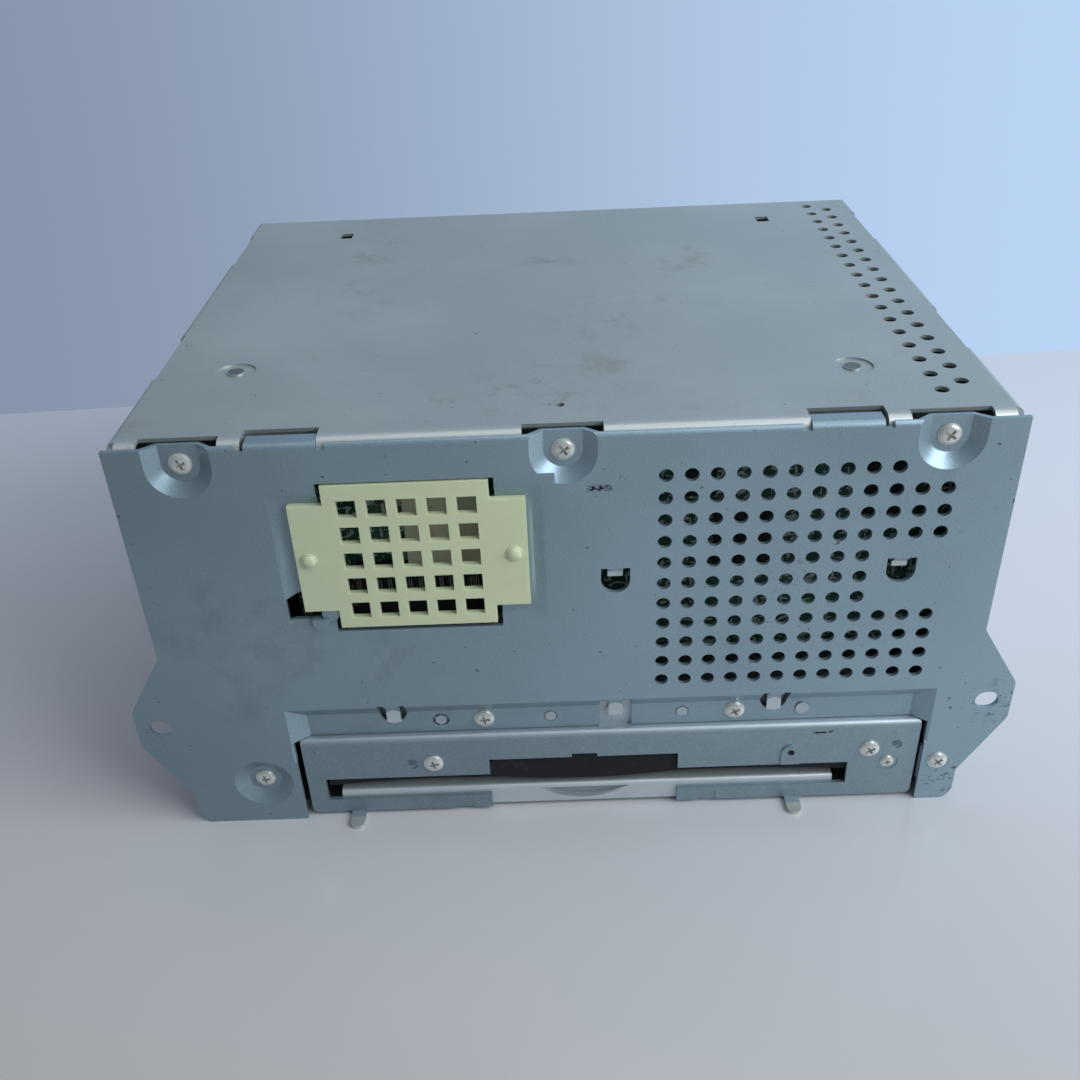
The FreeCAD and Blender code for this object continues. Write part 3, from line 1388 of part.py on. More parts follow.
# Every size is in the sheet by now, so no body has to be built twice.
make_front_plate()
make_vent_grille()
top_cover = make_top_cover()
chassis_tray = make_chassis_tray()
rear_panel = make_rear_panel()
open_rear_panel()
make_heat_sink()
make_harness_socket()
make_antenna_socket()
make_cross_member()
make_boards()
make_front_parts()
make_main_parts()
make_mech_bracket()
make_mech_frame()
make_guide_plate()
make_slot_guide()
make_roller_arm()
make_pivot_pins()
make_roller()
make_loading_drive()
make_traverse_plate()
make_dampers()
make_spindle()
make_reader()
make_clamp()
make_levers()
make_mech_board()
make_screws()
pierce_for_screws()

document.recompute()
for item in document.Objects:
    if "Invalid" in item.State or "Error" in item.State:
        raise RuntimeError(f"{item.Label}: {item.getStatusString()}")
os.makedirs("parts", exist_ok=True)
for made in bodies:
    if made.Shape.isNull() or not made.Shape.isValid():
        raise RuntimeError(f"{made.Label} has no sound shape")
    made.Shape.exportStep(f"parts/{made.Label}.step")
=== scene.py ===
import math

import bmesh
import bpy
from mathutils import Matrix, Vector


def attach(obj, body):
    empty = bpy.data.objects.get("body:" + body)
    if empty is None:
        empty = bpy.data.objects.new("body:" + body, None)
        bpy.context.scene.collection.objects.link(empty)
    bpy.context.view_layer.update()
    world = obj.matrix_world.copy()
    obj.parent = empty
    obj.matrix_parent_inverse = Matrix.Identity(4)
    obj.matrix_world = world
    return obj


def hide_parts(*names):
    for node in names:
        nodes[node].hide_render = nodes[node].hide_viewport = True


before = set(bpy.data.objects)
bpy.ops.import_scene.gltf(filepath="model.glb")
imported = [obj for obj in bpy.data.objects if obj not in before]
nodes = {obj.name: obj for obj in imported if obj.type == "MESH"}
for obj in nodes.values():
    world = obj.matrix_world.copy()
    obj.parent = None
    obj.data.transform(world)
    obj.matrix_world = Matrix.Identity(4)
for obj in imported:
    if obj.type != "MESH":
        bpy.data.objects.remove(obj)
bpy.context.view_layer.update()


# Sheet-metal housing.
# Front plate, lid, tray with its side walls, back wall and the channel behind the plate: zinc-coated steel
# sheet of about 1 mm, pressed and folded, with a satin blue-grey skin that has been handled and scuffed.
class Shade:
    """A number or colour inside a material, used with plain arithmetic."""

    def __init__(self, tree, socket):
        self.tree = tree
        self.socket = socket

    def worked(self, operation, first, second=0.0):
        node = self.tree.nodes.new("ShaderNodeMath")
        node.operation = operation
        for value, place in zip((first, second), node.inputs):
            fill(self.tree, place, value)
        return Shade(self.tree, node.outputs[0])

    def __add__(self, other):
        return self.worked("ADD", self, other)

    def __radd__(self, other):
        return self.worked("ADD", other, self)

    def __sub__(self, other):
        return self.worked("SUBTRACT", self, other)

    def __rsub__(self, other):
        return self.worked("SUBTRACT", other, self)

    def __mul__(self, other):
        return self.worked("MULTIPLY", self, other)

    def __rmul__(self, other):
        return self.worked("MULTIPLY", other, self)

    def __truediv__(self, other):
        return self.worked("DIVIDE", self, other)

    def __rtruediv__(self, other):
        return self.worked("DIVIDE", other, self)

    def above(self, low, high):
        """0 below low, 1 above high, and a smooth rise between them."""
        node = self.tree.nodes.new("ShaderNodeMapRange")
        node.interpolation_type = "SMOOTHSTEP"
        fill(self.tree, node.inputs["Value"], self)
        node.inputs["From Min"].default_value = low
        node.inputs["From Max"].default_value = high
        return Shade(self.tree, node.outputs["Result"])

    def most(self, other):
        return self.worked("MAXIMUM", self, other)

    def folded(self, length):
        """Run back and forth between 0 and a length."""
        return self.worked("PINGPONG", self, length)


def fill(tree, place, value):
    """Put a number or a colour into a shader input, or join another shade to it."""
    if isinstance(value, Shade):
        tree.links.new(value.socket, place)
    elif isinstance(value, (tuple, list)) and len(value) == 3 and len(place.default_value) == 4:
        place.default_value = (*value, 1)
    else:
        place.default_value = value


def blended(tree, share, first, second):
    """First colour where share is 0, second where it is 1."""
    first_colour, second_colour, mixed_colour = 6, 7, 2
    node = tree.nodes.new("ShaderNodeMix")
    node.data_type = "RGBA"
    fill(tree, node.inputs["Factor"], share)
    fill(tree, node.inputs[first_colour], first)
    fill(tree, node.inputs[second_colour], second)
    return Shade(tree, node.outputs[mixed_colour])


class Finish:
    """One surface finish: a shader, the piece's own coordinates, and the patterns made from them."""

    def __init__(self, name):
        self.material = bpy.data.materials.new(name)
        self.material.use_nodes = True
        self.tree = self.material.node_tree
        self.shader = self.tree.nodes["Principled BSDF"]
        own = self.tree.nodes.new("ShaderNodeTexCoord")
        self.place = own.outputs["Object"]
        parts = self.tree.nodes.new("ShaderNodeSeparateXYZ")
        self.tree.links.new(self.place, parts.inputs[0])
        self.x, self.y, self.z = (Shade(self.tree, parts.outputs[axis]) for axis in range(3))

    def mapped(self, stretch, shift):
        mapping = self.tree.nodes.new("ShaderNodeMapping")
        self.tree.links.new(self.place, mapping.inputs["Vector"])
        mapping.inputs["Scale"].default_value = stretch
        mapping.inputs["Location"].default_value = shift
        return mapping.outputs["Vector"]

    def noise(self, per_metre, detail=3.0, rough=0.55, stretch=(1, 1, 1), shift=(0, 0, 0)):
        """Cloudy pattern with about that many blotches a metre."""
        node = self.tree.nodes.new("ShaderNodeTexNoise")
        self.tree.links.new(self.mapped(stretch, shift), node.inputs["Vector"])
        node.inputs["Scale"].default_value = per_metre
        node.inputs["Detail"].default_value = detail
        node.inputs["Roughness"].default_value = rough
        return Shade(self.tree, node.outputs[0])

    def cells(self, per_metre, shift=(0, 0, 0), kind="F1"):
        """Distance to the nearest of many scattered points, or to the lines halfway between them."""
        node = self.tree.nodes.new("ShaderNodeTexVoronoi")
        node.feature = kind
        self.tree.links.new(self.mapped((1, 1, 1), shift), node.inputs["Vector"])
        node.inputs["Scale"].default_value = per_metre
        return Shade(self.tree, node.outputs["Distance"])

    def away(self, x, y, z):
        """Distance in metres from a point of the piece."""
        node = self.tree.nodes.new("ShaderNodeVectorMath")
        node.operation = "DISTANCE"
        self.tree.links.new(self.place, node.inputs[0])
        node.inputs[1].default_value = (x, y, z)
        return Shade(self.tree, node.outputs["Value"])

    def near(self, x, y, z, reach):
        """1 at a point of the piece, falling to 0 at that distance in metres."""
        return 1 - self.away(x, y, z).above(0, reach)

    def discs(self, centres, radius):
        """1 inside balls round some points of the piece, with soft rims."""
        inside = 0
        for centre in centres:
            inside = (1 - self.away(*centre).above(radius * 0.85, radius)).most(inside)
        return inside

    def mix(self, share, first, second):
        return blended(self.tree, share, first, second)

    def tone(self):
        """The colour as made so far."""
        return Shade(self.tree, self.shader.inputs["Base Color"].links[0].from_socket)

    def relief(self, height, metres):
        """Raise the surface by height times that many metres."""
        node = self.tree.nodes.new("ShaderNodeBump")
        node.inputs["Distance"].default_value = metres
        fill(self.tree, node.inputs["Height"], height)
        self.tree.links.new(node.outputs["Normal"], self.shader.inputs["Normal"])

    def set(self, **values):
        for name, value in values.items():
            fill(self.tree, self.shader.inputs[name.replace("_", " ").title()], value)
        return self.material


def alone(piece):
    """Select only this piece and make it the active one."""
    bpy.ops.object.select_all(action="DESELECT")
    piece.select_set(True)
    bpy.context.view_layer.objects.active = piece


def settle(piece):
    """Give the piece a plain place and turn, with its position in its mesh."""
    alone(piece)
    bpy.ops.object.transform_apply(location=True, rotation=True, scale=True)


def merged_copy(name):
    """A copy of a piece with its loose triangles joined into one skin."""
    made = bpy.data.objects.new(name + "_finished", nodes[name].data.copy())
    bpy.context.scene.collection.objects.link(made)
    alone(made)
    bpy.ops.object.mode_set(mode="EDIT")
    bpy.ops.mesh.select_all(action="SELECT")
    bpy.ops.mesh.remove_doubles(threshold=2e-6)
    bpy.ops.mesh.customdata_custom_splitnormals_clear()
    bpy.ops.object.mode_set(mode="OBJECT")
    return made


def combined(piece, tool, operation):
    """Cut one shape out of another, or weld it on, and remove the tool."""
    change = piece.modifiers.new("change", "BOOLEAN")
    change.object = tool
    change.operation = operation
    change.solver = "MANIFOLD"
    alone(piece)
    bpy.ops.object.modifier_apply(modifier=change.name)
    bpy.data.objects.remove(tool)


def cut_away(piece, tool):
    combined(piece, tool, "DIFFERENCE")


def bars(centres, radius, long, turn):
    """One shape made of round bars about the centres."""
    sizes = {"vertices": 24, "radius": radius, "depth": long, "rotation": turn}
    bpy.ops.object.select_all(action="DESELECT")
    bpy.ops.mesh.primitive_cylinder_add(location=centres[0], **sizes)
    made = bpy.context.object
    settle(made)
    bpy.ops.object.mode_set(mode="EDIT")
    for centre in centres[1:]:
        bpy.ops.mesh.primitive_cylinder_add(location=centre, **sizes)
    bpy.ops.object.mode_set(mode="OBJECT")
    return made


def joined(piece, extra):
    """Add one shape to another, in the first one's finish."""
    extra.data.materials.clear()
    extra.data.materials.append(piece.data.materials[0])
    alone(piece)
    extra.select_set(True)
    bpy.ops.object.join()


def finished(made, name, round_edges=0.0):
    """Let a reshaped copy stand for the plain piece of that name."""
    fold_angle = math.radians(28)
    edge_angle = math.radians(50)
    alone(made)
    bpy.ops.object.shade_smooth_by_angle(angle=fold_angle)
    if round_edges:
        edges = made.modifiers.new("edges", "BEVEL")
        edges.width = round_edges
        edges.segments = 2
        edges.limit_method = "ANGLE"
        edges.angle_limit = edge_angle
        edges.harden_normals = True
    even = made.modifiers.new("even", "WEIGHTED_NORMAL")
    even.keep_sharp = True
    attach(made, "chassis")
    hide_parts(name)


FACING_FRONT = (math.pi / 2, 0, 0)
FACING_UP = (0, 0, 0)


def faces_where(piece, test):
    """Select the faces whose middle and normal pass a test, in edit mode."""
    bpy.ops.object.mode_set(mode="EDIT")
    bpy.ops.mesh.select_mode(type="FACE")
    bpy.ops.mesh.select_all(action="DESELECT")
    shape = bmesh.from_edit_mesh(piece.data)
    for face in shape.faces:
        face.select_set(test(face.calc_center_median(), face.normal))
    bmesh.update_edit_mesh(piece.data)


def between(value, low, high):
    """1 from low to high and 0 outside, with short rises."""
    soft = (high - low) * 0.2
    return value.above(low, low + soft) * (1 - value.above(high - soft, high))


def scuffed(skin, x, z, wide, high):
    """A small broken black scrape on a front face."""
    flakes = skin.noise(1500, 2, 0.6, stretch=(0.5, 1, 1), shift=(x * 90, 0, z * 70))
    across = between(skin.x, x - wide / 2, x + wide / 2)
    upright = between(skin.z, z - high / 2, z + high / 2)
    return across * upright * flakes.above(0.47, 0.53)


def coat(material, *names):
    """Give these pieces one finish."""
    for name in names:
        slots = nodes[name].data.materials
        slots.clear()
        slots.append(material)


def zinc_sheet(name, light, dark, stain, metal=0.62, handled=0.5):
    """Zinc-coated sheet: faint rolling lines, cloudy patches, small pits and dull finger stains."""
    skin = Finish(name)
    clouds = skin.noise(14, 4, 0.6)
    patches = skin.noise(46, 5, 0.62, shift=(3, 1, 7))
    rolled = skin.noise(260, 2, 0.5, stretch=(0.06, 1, 1))
    grain = skin.noise(2600, 2, 0.6)
    smear = skin.noise(30, 6, 0.7, shift=(9, 4, 2)).above(0.56, 0.72)
    pits = skin.noise(620, 2, 0.5, shift=(5, 5, 1)).above(0.735, 0.775)
    tone = skin.mix(clouds.above(0.32, 0.68), dark, light)
    tone = skin.mix(patches.above(0.45, 0.75) * 0.35, tone, dark)
    tone = skin.mix(smear * handled, tone, stain)
    tone = skin.mix(grain.above(0.3, 0.75) * 0.12, tone, (0.75, 0.8, 0.82))
    tone = skin.mix(pits * 0.75, tone, (0.05, 0.055, 0.06))
    skin.relief(grain * 0.35 + rolled * 0.35 + patches * 2.0, 0.00005)
    skin.set(base_color=tone, metallic=metal)
    skin.set(roughness=0.34 + clouds * 0.12 + smear * handled * 0.2 + pits * 0.2)
    return skin


front_skin = zinc_sheet("front_zinc_sheet", (0.29, 0.40, 0.46), (0.24, 0.335, 0.39), (0.19, 0.245, 0.275))
scuffs = front_skin.noise(900, 4, 0.7, stretch=(0.5, 1, 1), shift=(2, 2, 2)).above(0.55, 0.62)
front_face = -0.080
worn_places = (
    (0.0965, 0.0300, 0.0110, 0.80),
    (0.0885, 0.0062, 0.0100, 1.00),
    (0.0065, 0.0888, 0.0028, 0.90),
    (-0.0955, 0.0290, 0.0060, 0.50),
    (0.0470, 0.0665, 0.0100, 0.35),
)
worn = 0
for x, z, reach, strength in worn_places:
    worn = (front_skin.near(x, front_face, z, reach) * strength).most(worn)
black_mark = (0.012, 0.016, 0.02)
front_tone = front_skin.mix(scuffs * worn, front_skin.tone(), (0.03, 0.035, 0.04))
top_scrape = scuffed(front_skin, 0.0070, 0.0889, 0.0058, 0.0016)
front_tone = front_skin.mix(top_scrape, front_tone, black_mark)
# Painted shade: the front plate is darkened toward its left end, where less light falls.
painted_shade_left = 1 - front_skin.x.above(-0.11, 0.01)
front_tone = front_skin.mix(painted_shade_left * 0.42, front_tone, (0.14, 0.19, 0.21))
# Painted highlight: a pale strip along the right crest of the grille's pressed seat.
painted_crest_highlight = between(front_skin.x, -0.0074, -0.0066) * between(front_skin.z, 0.0622, 0.0868)
front_tone = front_skin.mix(painted_crest_highlight * 0.5, front_tone, (0.55, 0.66, 0.72))
hooks_x = (-0.0408, 0.0101, 0.0462)
slits_x = (0.01005, 0.0694)
# Painted highlight: the bent tongues in the slits and at the hooks are painted pale, as if catching the light.
slit_tongues = front_skin.discs([(x, -0.0782, 0.0677) for x in slits_x], 0.0021)
hook_tongues = front_skin.discs([(x, -0.0772, 0.0290) for x in hooks_x], 0.0024)
painted_tongue_highlights = slit_tongues.most(hook_tongues) * 0.85
front_skin.set(base_color=front_skin.mix(painted_tongue_highlights, front_tone, (0.64, 0.70, 0.71)))
coat(front_skin.material, "front_plate")

holes_in_row = (10, 12, 12, 12, 9, 9, 9, 12, 12, 12, 12)
first_hole_x = 0.0201
first_hole_z = 0.0912
hole_pitch_x = 0.005105
hole_pitch_z = 0.005172
vents = []
for down, count in enumerate(holes_in_row):
    z = first_hole_z - down * hole_pitch_z
    vents += [(first_hole_x + across * hole_pitch_x, front_face, z) for across in range(count)]
hook_ends = [(x, -0.0769, 0.0288) for x in hooks_x]
tongue_below_grille = [(-0.0505, -0.0797, 0.0606)]
front = merged_copy("front_plate")
cut_away(front, bars(vents, 0.00147, 0.006, FACING_FRONT))
joined(front, bars(hook_ends, 0.0016, 0.0009, FACING_FRONT))
joined(front, bars(tongue_below_grille, 0.0018, 0.0008, FACING_FRONT))
finished(front, "front_plate")

lid_top = 0.1016
lid_skin = zinc_sheet("lid_zinc_sheet", (0.42, 0.475, 0.455), (0.35, 0.40, 0.385), (0.28, 0.29, 0.255),
                      handled=0.75)
brown = lid_skin.noise(150, 5, 0.7, shift=(6, 2, 3)).above(0.5, 0.7)
stained = lid_skin.near(-0.004, -0.058, lid_top, 0.026).most(lid_skin.near(0.012, -0.018, lid_top, 0.022))
lid_tone = lid_skin.mix(brown * stained * 0.55, lid_skin.tone(), (0.235, 0.215, 0.165))
# Pale front edge of the lid: partly rubbed wear, partly a painted highlight along the fold.
worn_and_highlit_edge = 1 - lid_skin.y.above(-0.0785, -0.0755)
lid_tone = lid_skin.mix(worn_and_highlit_edge * 0.6, lid_tone, (0.62, 0.65, 0.64))
rivets = lid_skin.discs([(-0.0711, -0.0445, 0.1014), (0.0618, -0.0542, 0.1014)], 0.0019)
lid_skin.set(base_color=lid_skin.mix(rivets * 0.8, lid_tone, (0.09, 0.095, 0.09)))
coat(lid_skin.material, "top_cover", "cross_member")

lid_hole_pitch = 0.007643
lid_vents = [(0.0764, front_face + 0.01254 + along * lid_hole_pitch, lid_top) for along in range(18)]
lid_vents += [(x + 0.0051, y + 0.0037, top) for x, y, top in lid_vents[:17]]
lid = merged_copy("top_cover")
cut_away(lid, bars(lid_vents, 0.00152, 0.006, FACING_UP))
finished(lid, "top_cover")

wall_skin = zinc_sheet("wall_zinc_sheet", (0.34, 0.40, 0.44), (0.28, 0.335, 0.37), (0.21, 0.23, 0.235),
                       handled=0.6)
lug_tips = 1 - wall_skin.y.above(-0.0815, -0.0805)
wall_skin.set(base_color=wall_skin.mix(lug_tips * 0.8, wall_skin.tone(), (0.60, 0.61, 0.54)))
coat(wall_skin.material, "chassis_tray", "rear_panel")


# Grille in the front plate.
# One ivory nylon moulding with twenty-five square holes, held in the plate's seat by two melted pegs. Light
# goes a little way into it, and its surface has the fine sparkle of a mould that was eroded smooth.
ivory = Finish("ivory_nylon")
ivory_clouds = ivory.noise(60, 3)
ivory_grain = ivory.noise(3800, 2)
ivory_dirt = ivory.noise(210, 5, 0.7, shift=(1, 6, 2)).above(0.6, 0.78)
ivory_tone = ivory.mix(ivory_clouds, (0.60, 0.655, 0.41), (0.66, 0.70, 0.46))
shaded_left = 1 - ivory.x.above(-0.06, 0.0)
ivory_tone = ivory.mix(shaded_left * 0.35, ivory_tone, (0.42, 0.47, 0.33))
ivory_tone = ivory.mix(ivory_dirt * 0.22, ivory_tone, (0.4, 0.41, 0.33))
ivory.relief(ivory_grain + ivory_clouds * 2, 0.00002)
ivory.set(base_color=ivory_tone, roughness=0.36 + ivory_grain * 0.14)
ivory.set(subsurface_weight=0.18, subsurface_scale=0.0015, subsurface_radius=(1.0, 0.95, 0.6))
coat(ivory.material, "vent_grille")
grille = merged_copy("vent_grille")
for x in (-0.05295, -0.01065):
    peg_place = (x, -0.0807, 0.07455)
    bpy.ops.object.select_all(action="DESELECT")
    bpy.ops.mesh.primitive_uv_sphere_add(segments=24, ring_count=12, radius=0.0015, location=peg_place)
    dome = bpy.context.object
    dome.scale = (1, 0.45, 1)
    settle(dome)
    joined(grille, dome)
finished(grille, "vent_grille", 0.00022)


# Folded parts of the disc mechanism.
# Frame, front bracket, arms, levers and the plate that carries the reader: the same zinc-coated sheet in
# thinner gauge. The bracket's rolled top edge has a painted highlight, and the guide plate is a paler sheet.
bracket_skin = zinc_sheet("bracket_zinc_sheet", (0.27, 0.36, 0.40), (0.22, 0.30, 0.34), (0.17, 0.21, 0.23),
                          metal=0.7)
# Painted highlight: a pale band along the bracket's rolled top edge, where the roll catches the light.
painted_roll_highlight = bracket_skin.z.above(0.0222, 0.0236)
bracket_tone = bracket_skin.mix(painted_roll_highlight * 0.55, bracket_skin.tone(), (0.66, 0.72, 0.75))
# Painted shade: near-black patches on the bracket behind the two outer hook slots of the plate.
painted_shade_behind_hooks = bracket_skin.discs([(x, -0.0755, 0.0305) for x in (hooks_x[0], hooks_x[2])], 0.0042)
bracket_tone = bracket_skin.mix(painted_shade_behind_hooks * 0.85, bracket_tone, (0.02, 0.022, 0.025))
# Painted shade: dark discs in the two shallow dimples of the bracket.
painted_dimple_shade = bracket_skin.discs([(-0.03775, -0.0787, 0.0160), (0.07535, -0.0787, 0.0170)], 0.0011)
bracket_tone = bracket_skin.mix(painted_dimple_shade * 0.6, bracket_tone, (0.06, 0.08, 0.09))
shaded_left = 1 - bracket_skin.x.above(-0.09, 0.02)
bracket_tone = bracket_skin.mix(shaded_left * 0.25, bracket_tone, (0.12, 0.165, 0.18))
edge_scrape = scuffed(bracket_skin, 0.0586, 0.0213, 0.0068, 0.0010)
bracket_skin.set(base_color=bracket_skin.mix(edge_scrape, bracket_tone, black_mark))
coat(bracket_skin.material, "mech_bracket")

bracket_face = -0.079
shallow_recesses = (
    (-0.03775, 0.0157, 0.00145, 0.00025),
    (0.07535, 0.0167, 0.00135, 0.00025),
    (0.0738, 0.0115, 0.0026, 0.00014),
)
bracket_front = merged_copy("mech_bracket")
for x, z, radius, deep in shallow_recesses:
    cut_away(bracket_front, bars([(x, bracket_face - 0.001 + deep, z)], radius, 0.002, FACING_FRONT))
tab_x = 0.0509
tab_hole = [(tab_x, bracket_face, 0.0154)]
cut_away(bracket_front, bars(tab_hole, 0.00082, 0.004, FACING_FRONT))
raised_tab = bars(tab_hole, 0.0022, 0.0008, FACING_FRONT)
bpy.ops.object.select_all(action="DESELECT")
bpy.ops.mesh.primitive_cube_add(size=1, location=(tab_x, bracket_face, 0.0136))
tab_foot = bpy.context.object
tab_foot.scale = (0.0044, 0.00079, 0.0036)
settle(tab_foot)
combined(raised_tab, tab_foot, "UNION")
cut_away(raised_tab, bars(tab_hole, 0.00085, 0.004, FACING_FRONT))
joined(bracket_front, raised_tab)
finished(bracket_front, "mech_bracket", 0.00012)

frame_skin = zinc_sheet("frame_zinc_sheet", (0.42, 0.47, 0.49), (0.36, 0.4, 0.42), (0.3, 0.31, 0.3),
                        metal=0.75)
coat(frame_skin.material, "mech_frame", "roller_arm", "traverse_plate", "clamp_arm", "left_lever",
     "right_lever", "motor_bracket")

bright_skin = zinc_sheet("bright_sheet", (0.60, 0.655, 0.67), (0.54, 0.595, 0.61), (0.42, 0.44, 0.44),
                         metal=0.55, handled=0.25)
scoop_middle = 0.0025
scoop_half_width = 0.0107
scoop_bottom = 0.0022
scoop_rise = 0.0034
across_scoop = (bright_skin.x - scoop_middle) / scoop_half_width
scoop_floor = scoop_bottom + across_scoop * across_scoop * scoop_rise
# Painted shade: the floor of the finger scoop in the guide plate's apron is darkened.
painted_scoop_shade = (bright_skin.z - scoop_floor).above(-0.0002, 0.0002) * (1 - bright_skin.z.above(0.0053, 0.0057))
painted_scoop_shade = painted_scoop_shade * (1 - bright_skin.y.above(-0.0760, -0.0755)) * between(bright_skin.x, -0.0085, 0.0135)
bright_skin.set(base_color=bright_skin.mix(painted_scoop_shade * 0.6, bright_skin.tone(), (0.13, 0.17, 0.18)))
coat(bright_skin.material, "guide_plate")

canned = zinc_sheet("tinned_can", (0.62, 0.63, 0.44), (0.56, 0.57, 0.40), (0.45, 0.45, 0.32),
                    metal=0.1, handled=0.3)
coat(canned.material, "shield_can")


def lowered(name, fall, new_bottom):
    """Show a piece that many metres lower, with its lowest faces drawn down to a new height."""
    made = merged_copy(name)
    bottom = min(vertex.co.z for vertex in made.data.vertices) - fall
    for vertex in made.data.vertices:
        vertex.co.z -= fall
        if vertex.co.z < bottom + 0.0005:
            vertex.co.z = new_bottom
    finished(made, name, 0.0001)


lowered("shield_can", 0, 0.0668)

tinned = zinc_sheet("tinned_sheet", (0.60, 0.61, 0.60), (0.52, 0.53, 0.52), (0.4, 0.4, 0.38),
                    metal=0.85, handled=0.3)
coat(tinned.material, "tuner_module", "antenna_socket")


# Moulded black plastic.
# The upper disc guide, sockets, turntable and reader body: glass-filled nylon, dull black with a fine grain.
def moulded(name, tone, worn_tone, roughness=0.45, grain_size=3000):
    skin = Finish(name)
    grain = skin.noise(grain_size, 2)
    flow = skin.noise(70, 4, 0.6, stretch=(0.5, 1, 1))
    skin.relief(grain + flow, 0.000025)
    skin.shader.inputs["Specular IOR Level"].default_value = 0.25
    rub = skin.noise(190, 5, 0.7, shift=(4, 4, 4)).above(0.58, 0.76)
    skin.set(base_color=skin.mix(rub * 0.5 + flow * 0.15, tone, worn_tone))
    skin.set(roughness=roughness + grain * 0.15 - rub * 0.1)
    return skin.material


black_nylon = moulded("black_nylon", (0.009, 0.0095, 0.012), (0.035, 0.036, 0.04), 0.55)
coat(black_nylon, "slot_guide", "harness_socket", "turntable", "clamp_disc", "pickup_body")

comb = Finish("pin_comb")
comb_grain = comb.noise(2600, 2)
half_pin_pitch = 0.00028
pins = (comb.x + 1).folded(half_pin_pitch).above(0.00017, 0.00022)
pins = pins * between(comb.z, 0.0585, 0.0640)
comb.set(base_color=comb.mix(pins * 0.7 + comb_grain * 0.05, (0.010, 0.011, 0.013), (0.42, 0.45, 0.42)))
comb.set(roughness=0.45 + comb_grain * 0.2)
comb.relief(comb_grain, 0.00002)
coat(comb.material, "front_connector")
lowered("front_connector", 0.0062, 0.0490)

white_acetal = moulded("white_acetal", (0.72, 0.71, 0.66), (0.6, 0.58, 0.5), 0.35)
coat(white_acetal, "idler_gear", "roller_gear", "loading_worm", "cam_slider")
black_rubber = moulded("black_rubber", (0.02, 0.02, 0.021), (0.06, 0.058, 0.055), 0.7, 1800)
coat(black_rubber, "roller_rubber", "dampers")
chip_resin = moulded("chip_resin", (0.022, 0.022, 0.024), (0.05, 0.05, 0.05), 0.5, 4500)
coat(chip_resin, "amplifier_chip", "front_chips", "processor_chips")
shrink_sleeve = moulded("shrink_sleeve", (0.02, 0.025, 0.05), (0.05, 0.06, 0.1), 0.25, 900)
coat(shrink_sleeve, "main_capacitors")


# Circuit boards.
# Glass-resin boards under green lacquer, with darker copper tracks showing through, bright solder pads and
# short pale print marks beside the parts.
lacquer = Finish("green_board")
tracks = lacquer.cells(160, kind="DISTANCE_TO_EDGE").above(0.02, 0.05)
fine_tracks = lacquer.noise(420, 1, 0.3, stretch=(0.15, 1, 1)).above(0.47, 0.53)
pads = 1 - lacquer.cells(330, shift=(0.4, 0.2, 0.9)).above(0.13, 0.17)
marks_across = lacquer.noise(1100, 0, 0, stretch=(0.4, 1, 1), shift=(8, 1, 3)).above(0.64, 0.66)
marks_up = lacquer.noise(1100, 0, 0, stretch=(1, 1, 0.4), shift=(1, 7, 6)).above(0.65, 0.67)
board_tone = lacquer.mix(tracks * 0.5 + fine_tracks * 0.4, (0.012, 0.06, 0.035), (0.02, 0.125, 0.07))
board_tone = lacquer.mix(pads * 0.3, board_tone, (0.22, 0.30, 0.25))
board_tone = lacquer.mix(marks_across.most(marks_up) * 0.85, board_tone, (0.62, 0.68, 0.63))
lacquer.relief(fine_tracks * 0.5 + tracks * 0.5 + pads, 0.00003)
lacquer.set(base_color=board_tone, roughness=0.3 + fine_tracks * 0.08 + pads * 0.1, metallic=pads * 0.5)
coat(lacquer.material, "main_board", "front_board", "mech_board")


# Turned and drawn steel.
# Guide rods, shafts, pins, posts and motor cans: bright steel with fine turning lines across the axis.
def drawn_steel(name, tone, dull, roughness):
    skin = Finish(name)
    lines = skin.noise(1500, 2, 0.5, stretch=(1, 0.2, 0.2))
    film = skin.noise(120, 4, 0.6)
    skin.relief(lines, 0.00001)
    skin.set(base_color=skin.mix(film.above(0.4, 0.8), tone, dull), metallic=0.95)
    skin.set(roughness=roughness + film * 0.12)
    return skin.material


polished = drawn_steel("bright_steel", (0.68, 0.69, 0.69), (0.5, 0.5, 0.49), 0.2)
coat(polished, "guide_rods", "roller_shaft", "lead_screw", "pivot_pins", "lever_pins", "damper_pins",
     "clamp_hinge_pin", "board_standoffs", "board_screws", "mech_screws")
motor_steel = drawn_steel("motor_can_steel", (0.56, 0.57, 0.58), (0.42, 0.43, 0.44), 0.32)
coat(motor_steel, "loading_motor", "sled_motor", "spindle_motor")

sink_skin = Finish("cast_aluminium")
sink_grain = sink_skin.noise(1400, 3, 0.6)
sink_draw = sink_skin.noise(300, 3, 0.5, stretch=(1, 1, 0.04))
sink_skin.relief(sink_grain * 0.5 + sink_draw, 0.00004)
sink_skin.set(base_color=sink_skin.mix(sink_draw, (0.5, 0.52, 0.54), (0.62, 0.64, 0.66)), metallic=0.9)
sink_skin.set(roughness=0.36 + sink_grain * 0.15)
coat(sink_skin.material, "heat_sink")

copper = Finish("copper_winding")
turns = copper.noise(1100, 1, 0.3, stretch=(1, 1, 0.05)).above(0.4, 0.6)
copper.relief(turns, 0.0002)
copper.set(base_color=copper.mix(turns, (0.12, 0.04, 0.015), (0.55, 0.23, 0.09)), metallic=0.8)
copper.set(roughness=0.3 + turns * 0.1)
coat(copper.material, "choke_coil")

glass = Finish("reader_lens")
glass_film = glass.noise(900, 3)
glass.relief(glass_film, 0.000004)
glass.set(base_color=glass.mix(glass_film, (0.10, 0.12, 0.22), (0.2, 0.16, 0.3)))
glass.set(roughness=0.05 + glass_film * 0.06)
coat(glass.material, "pickup_lens")


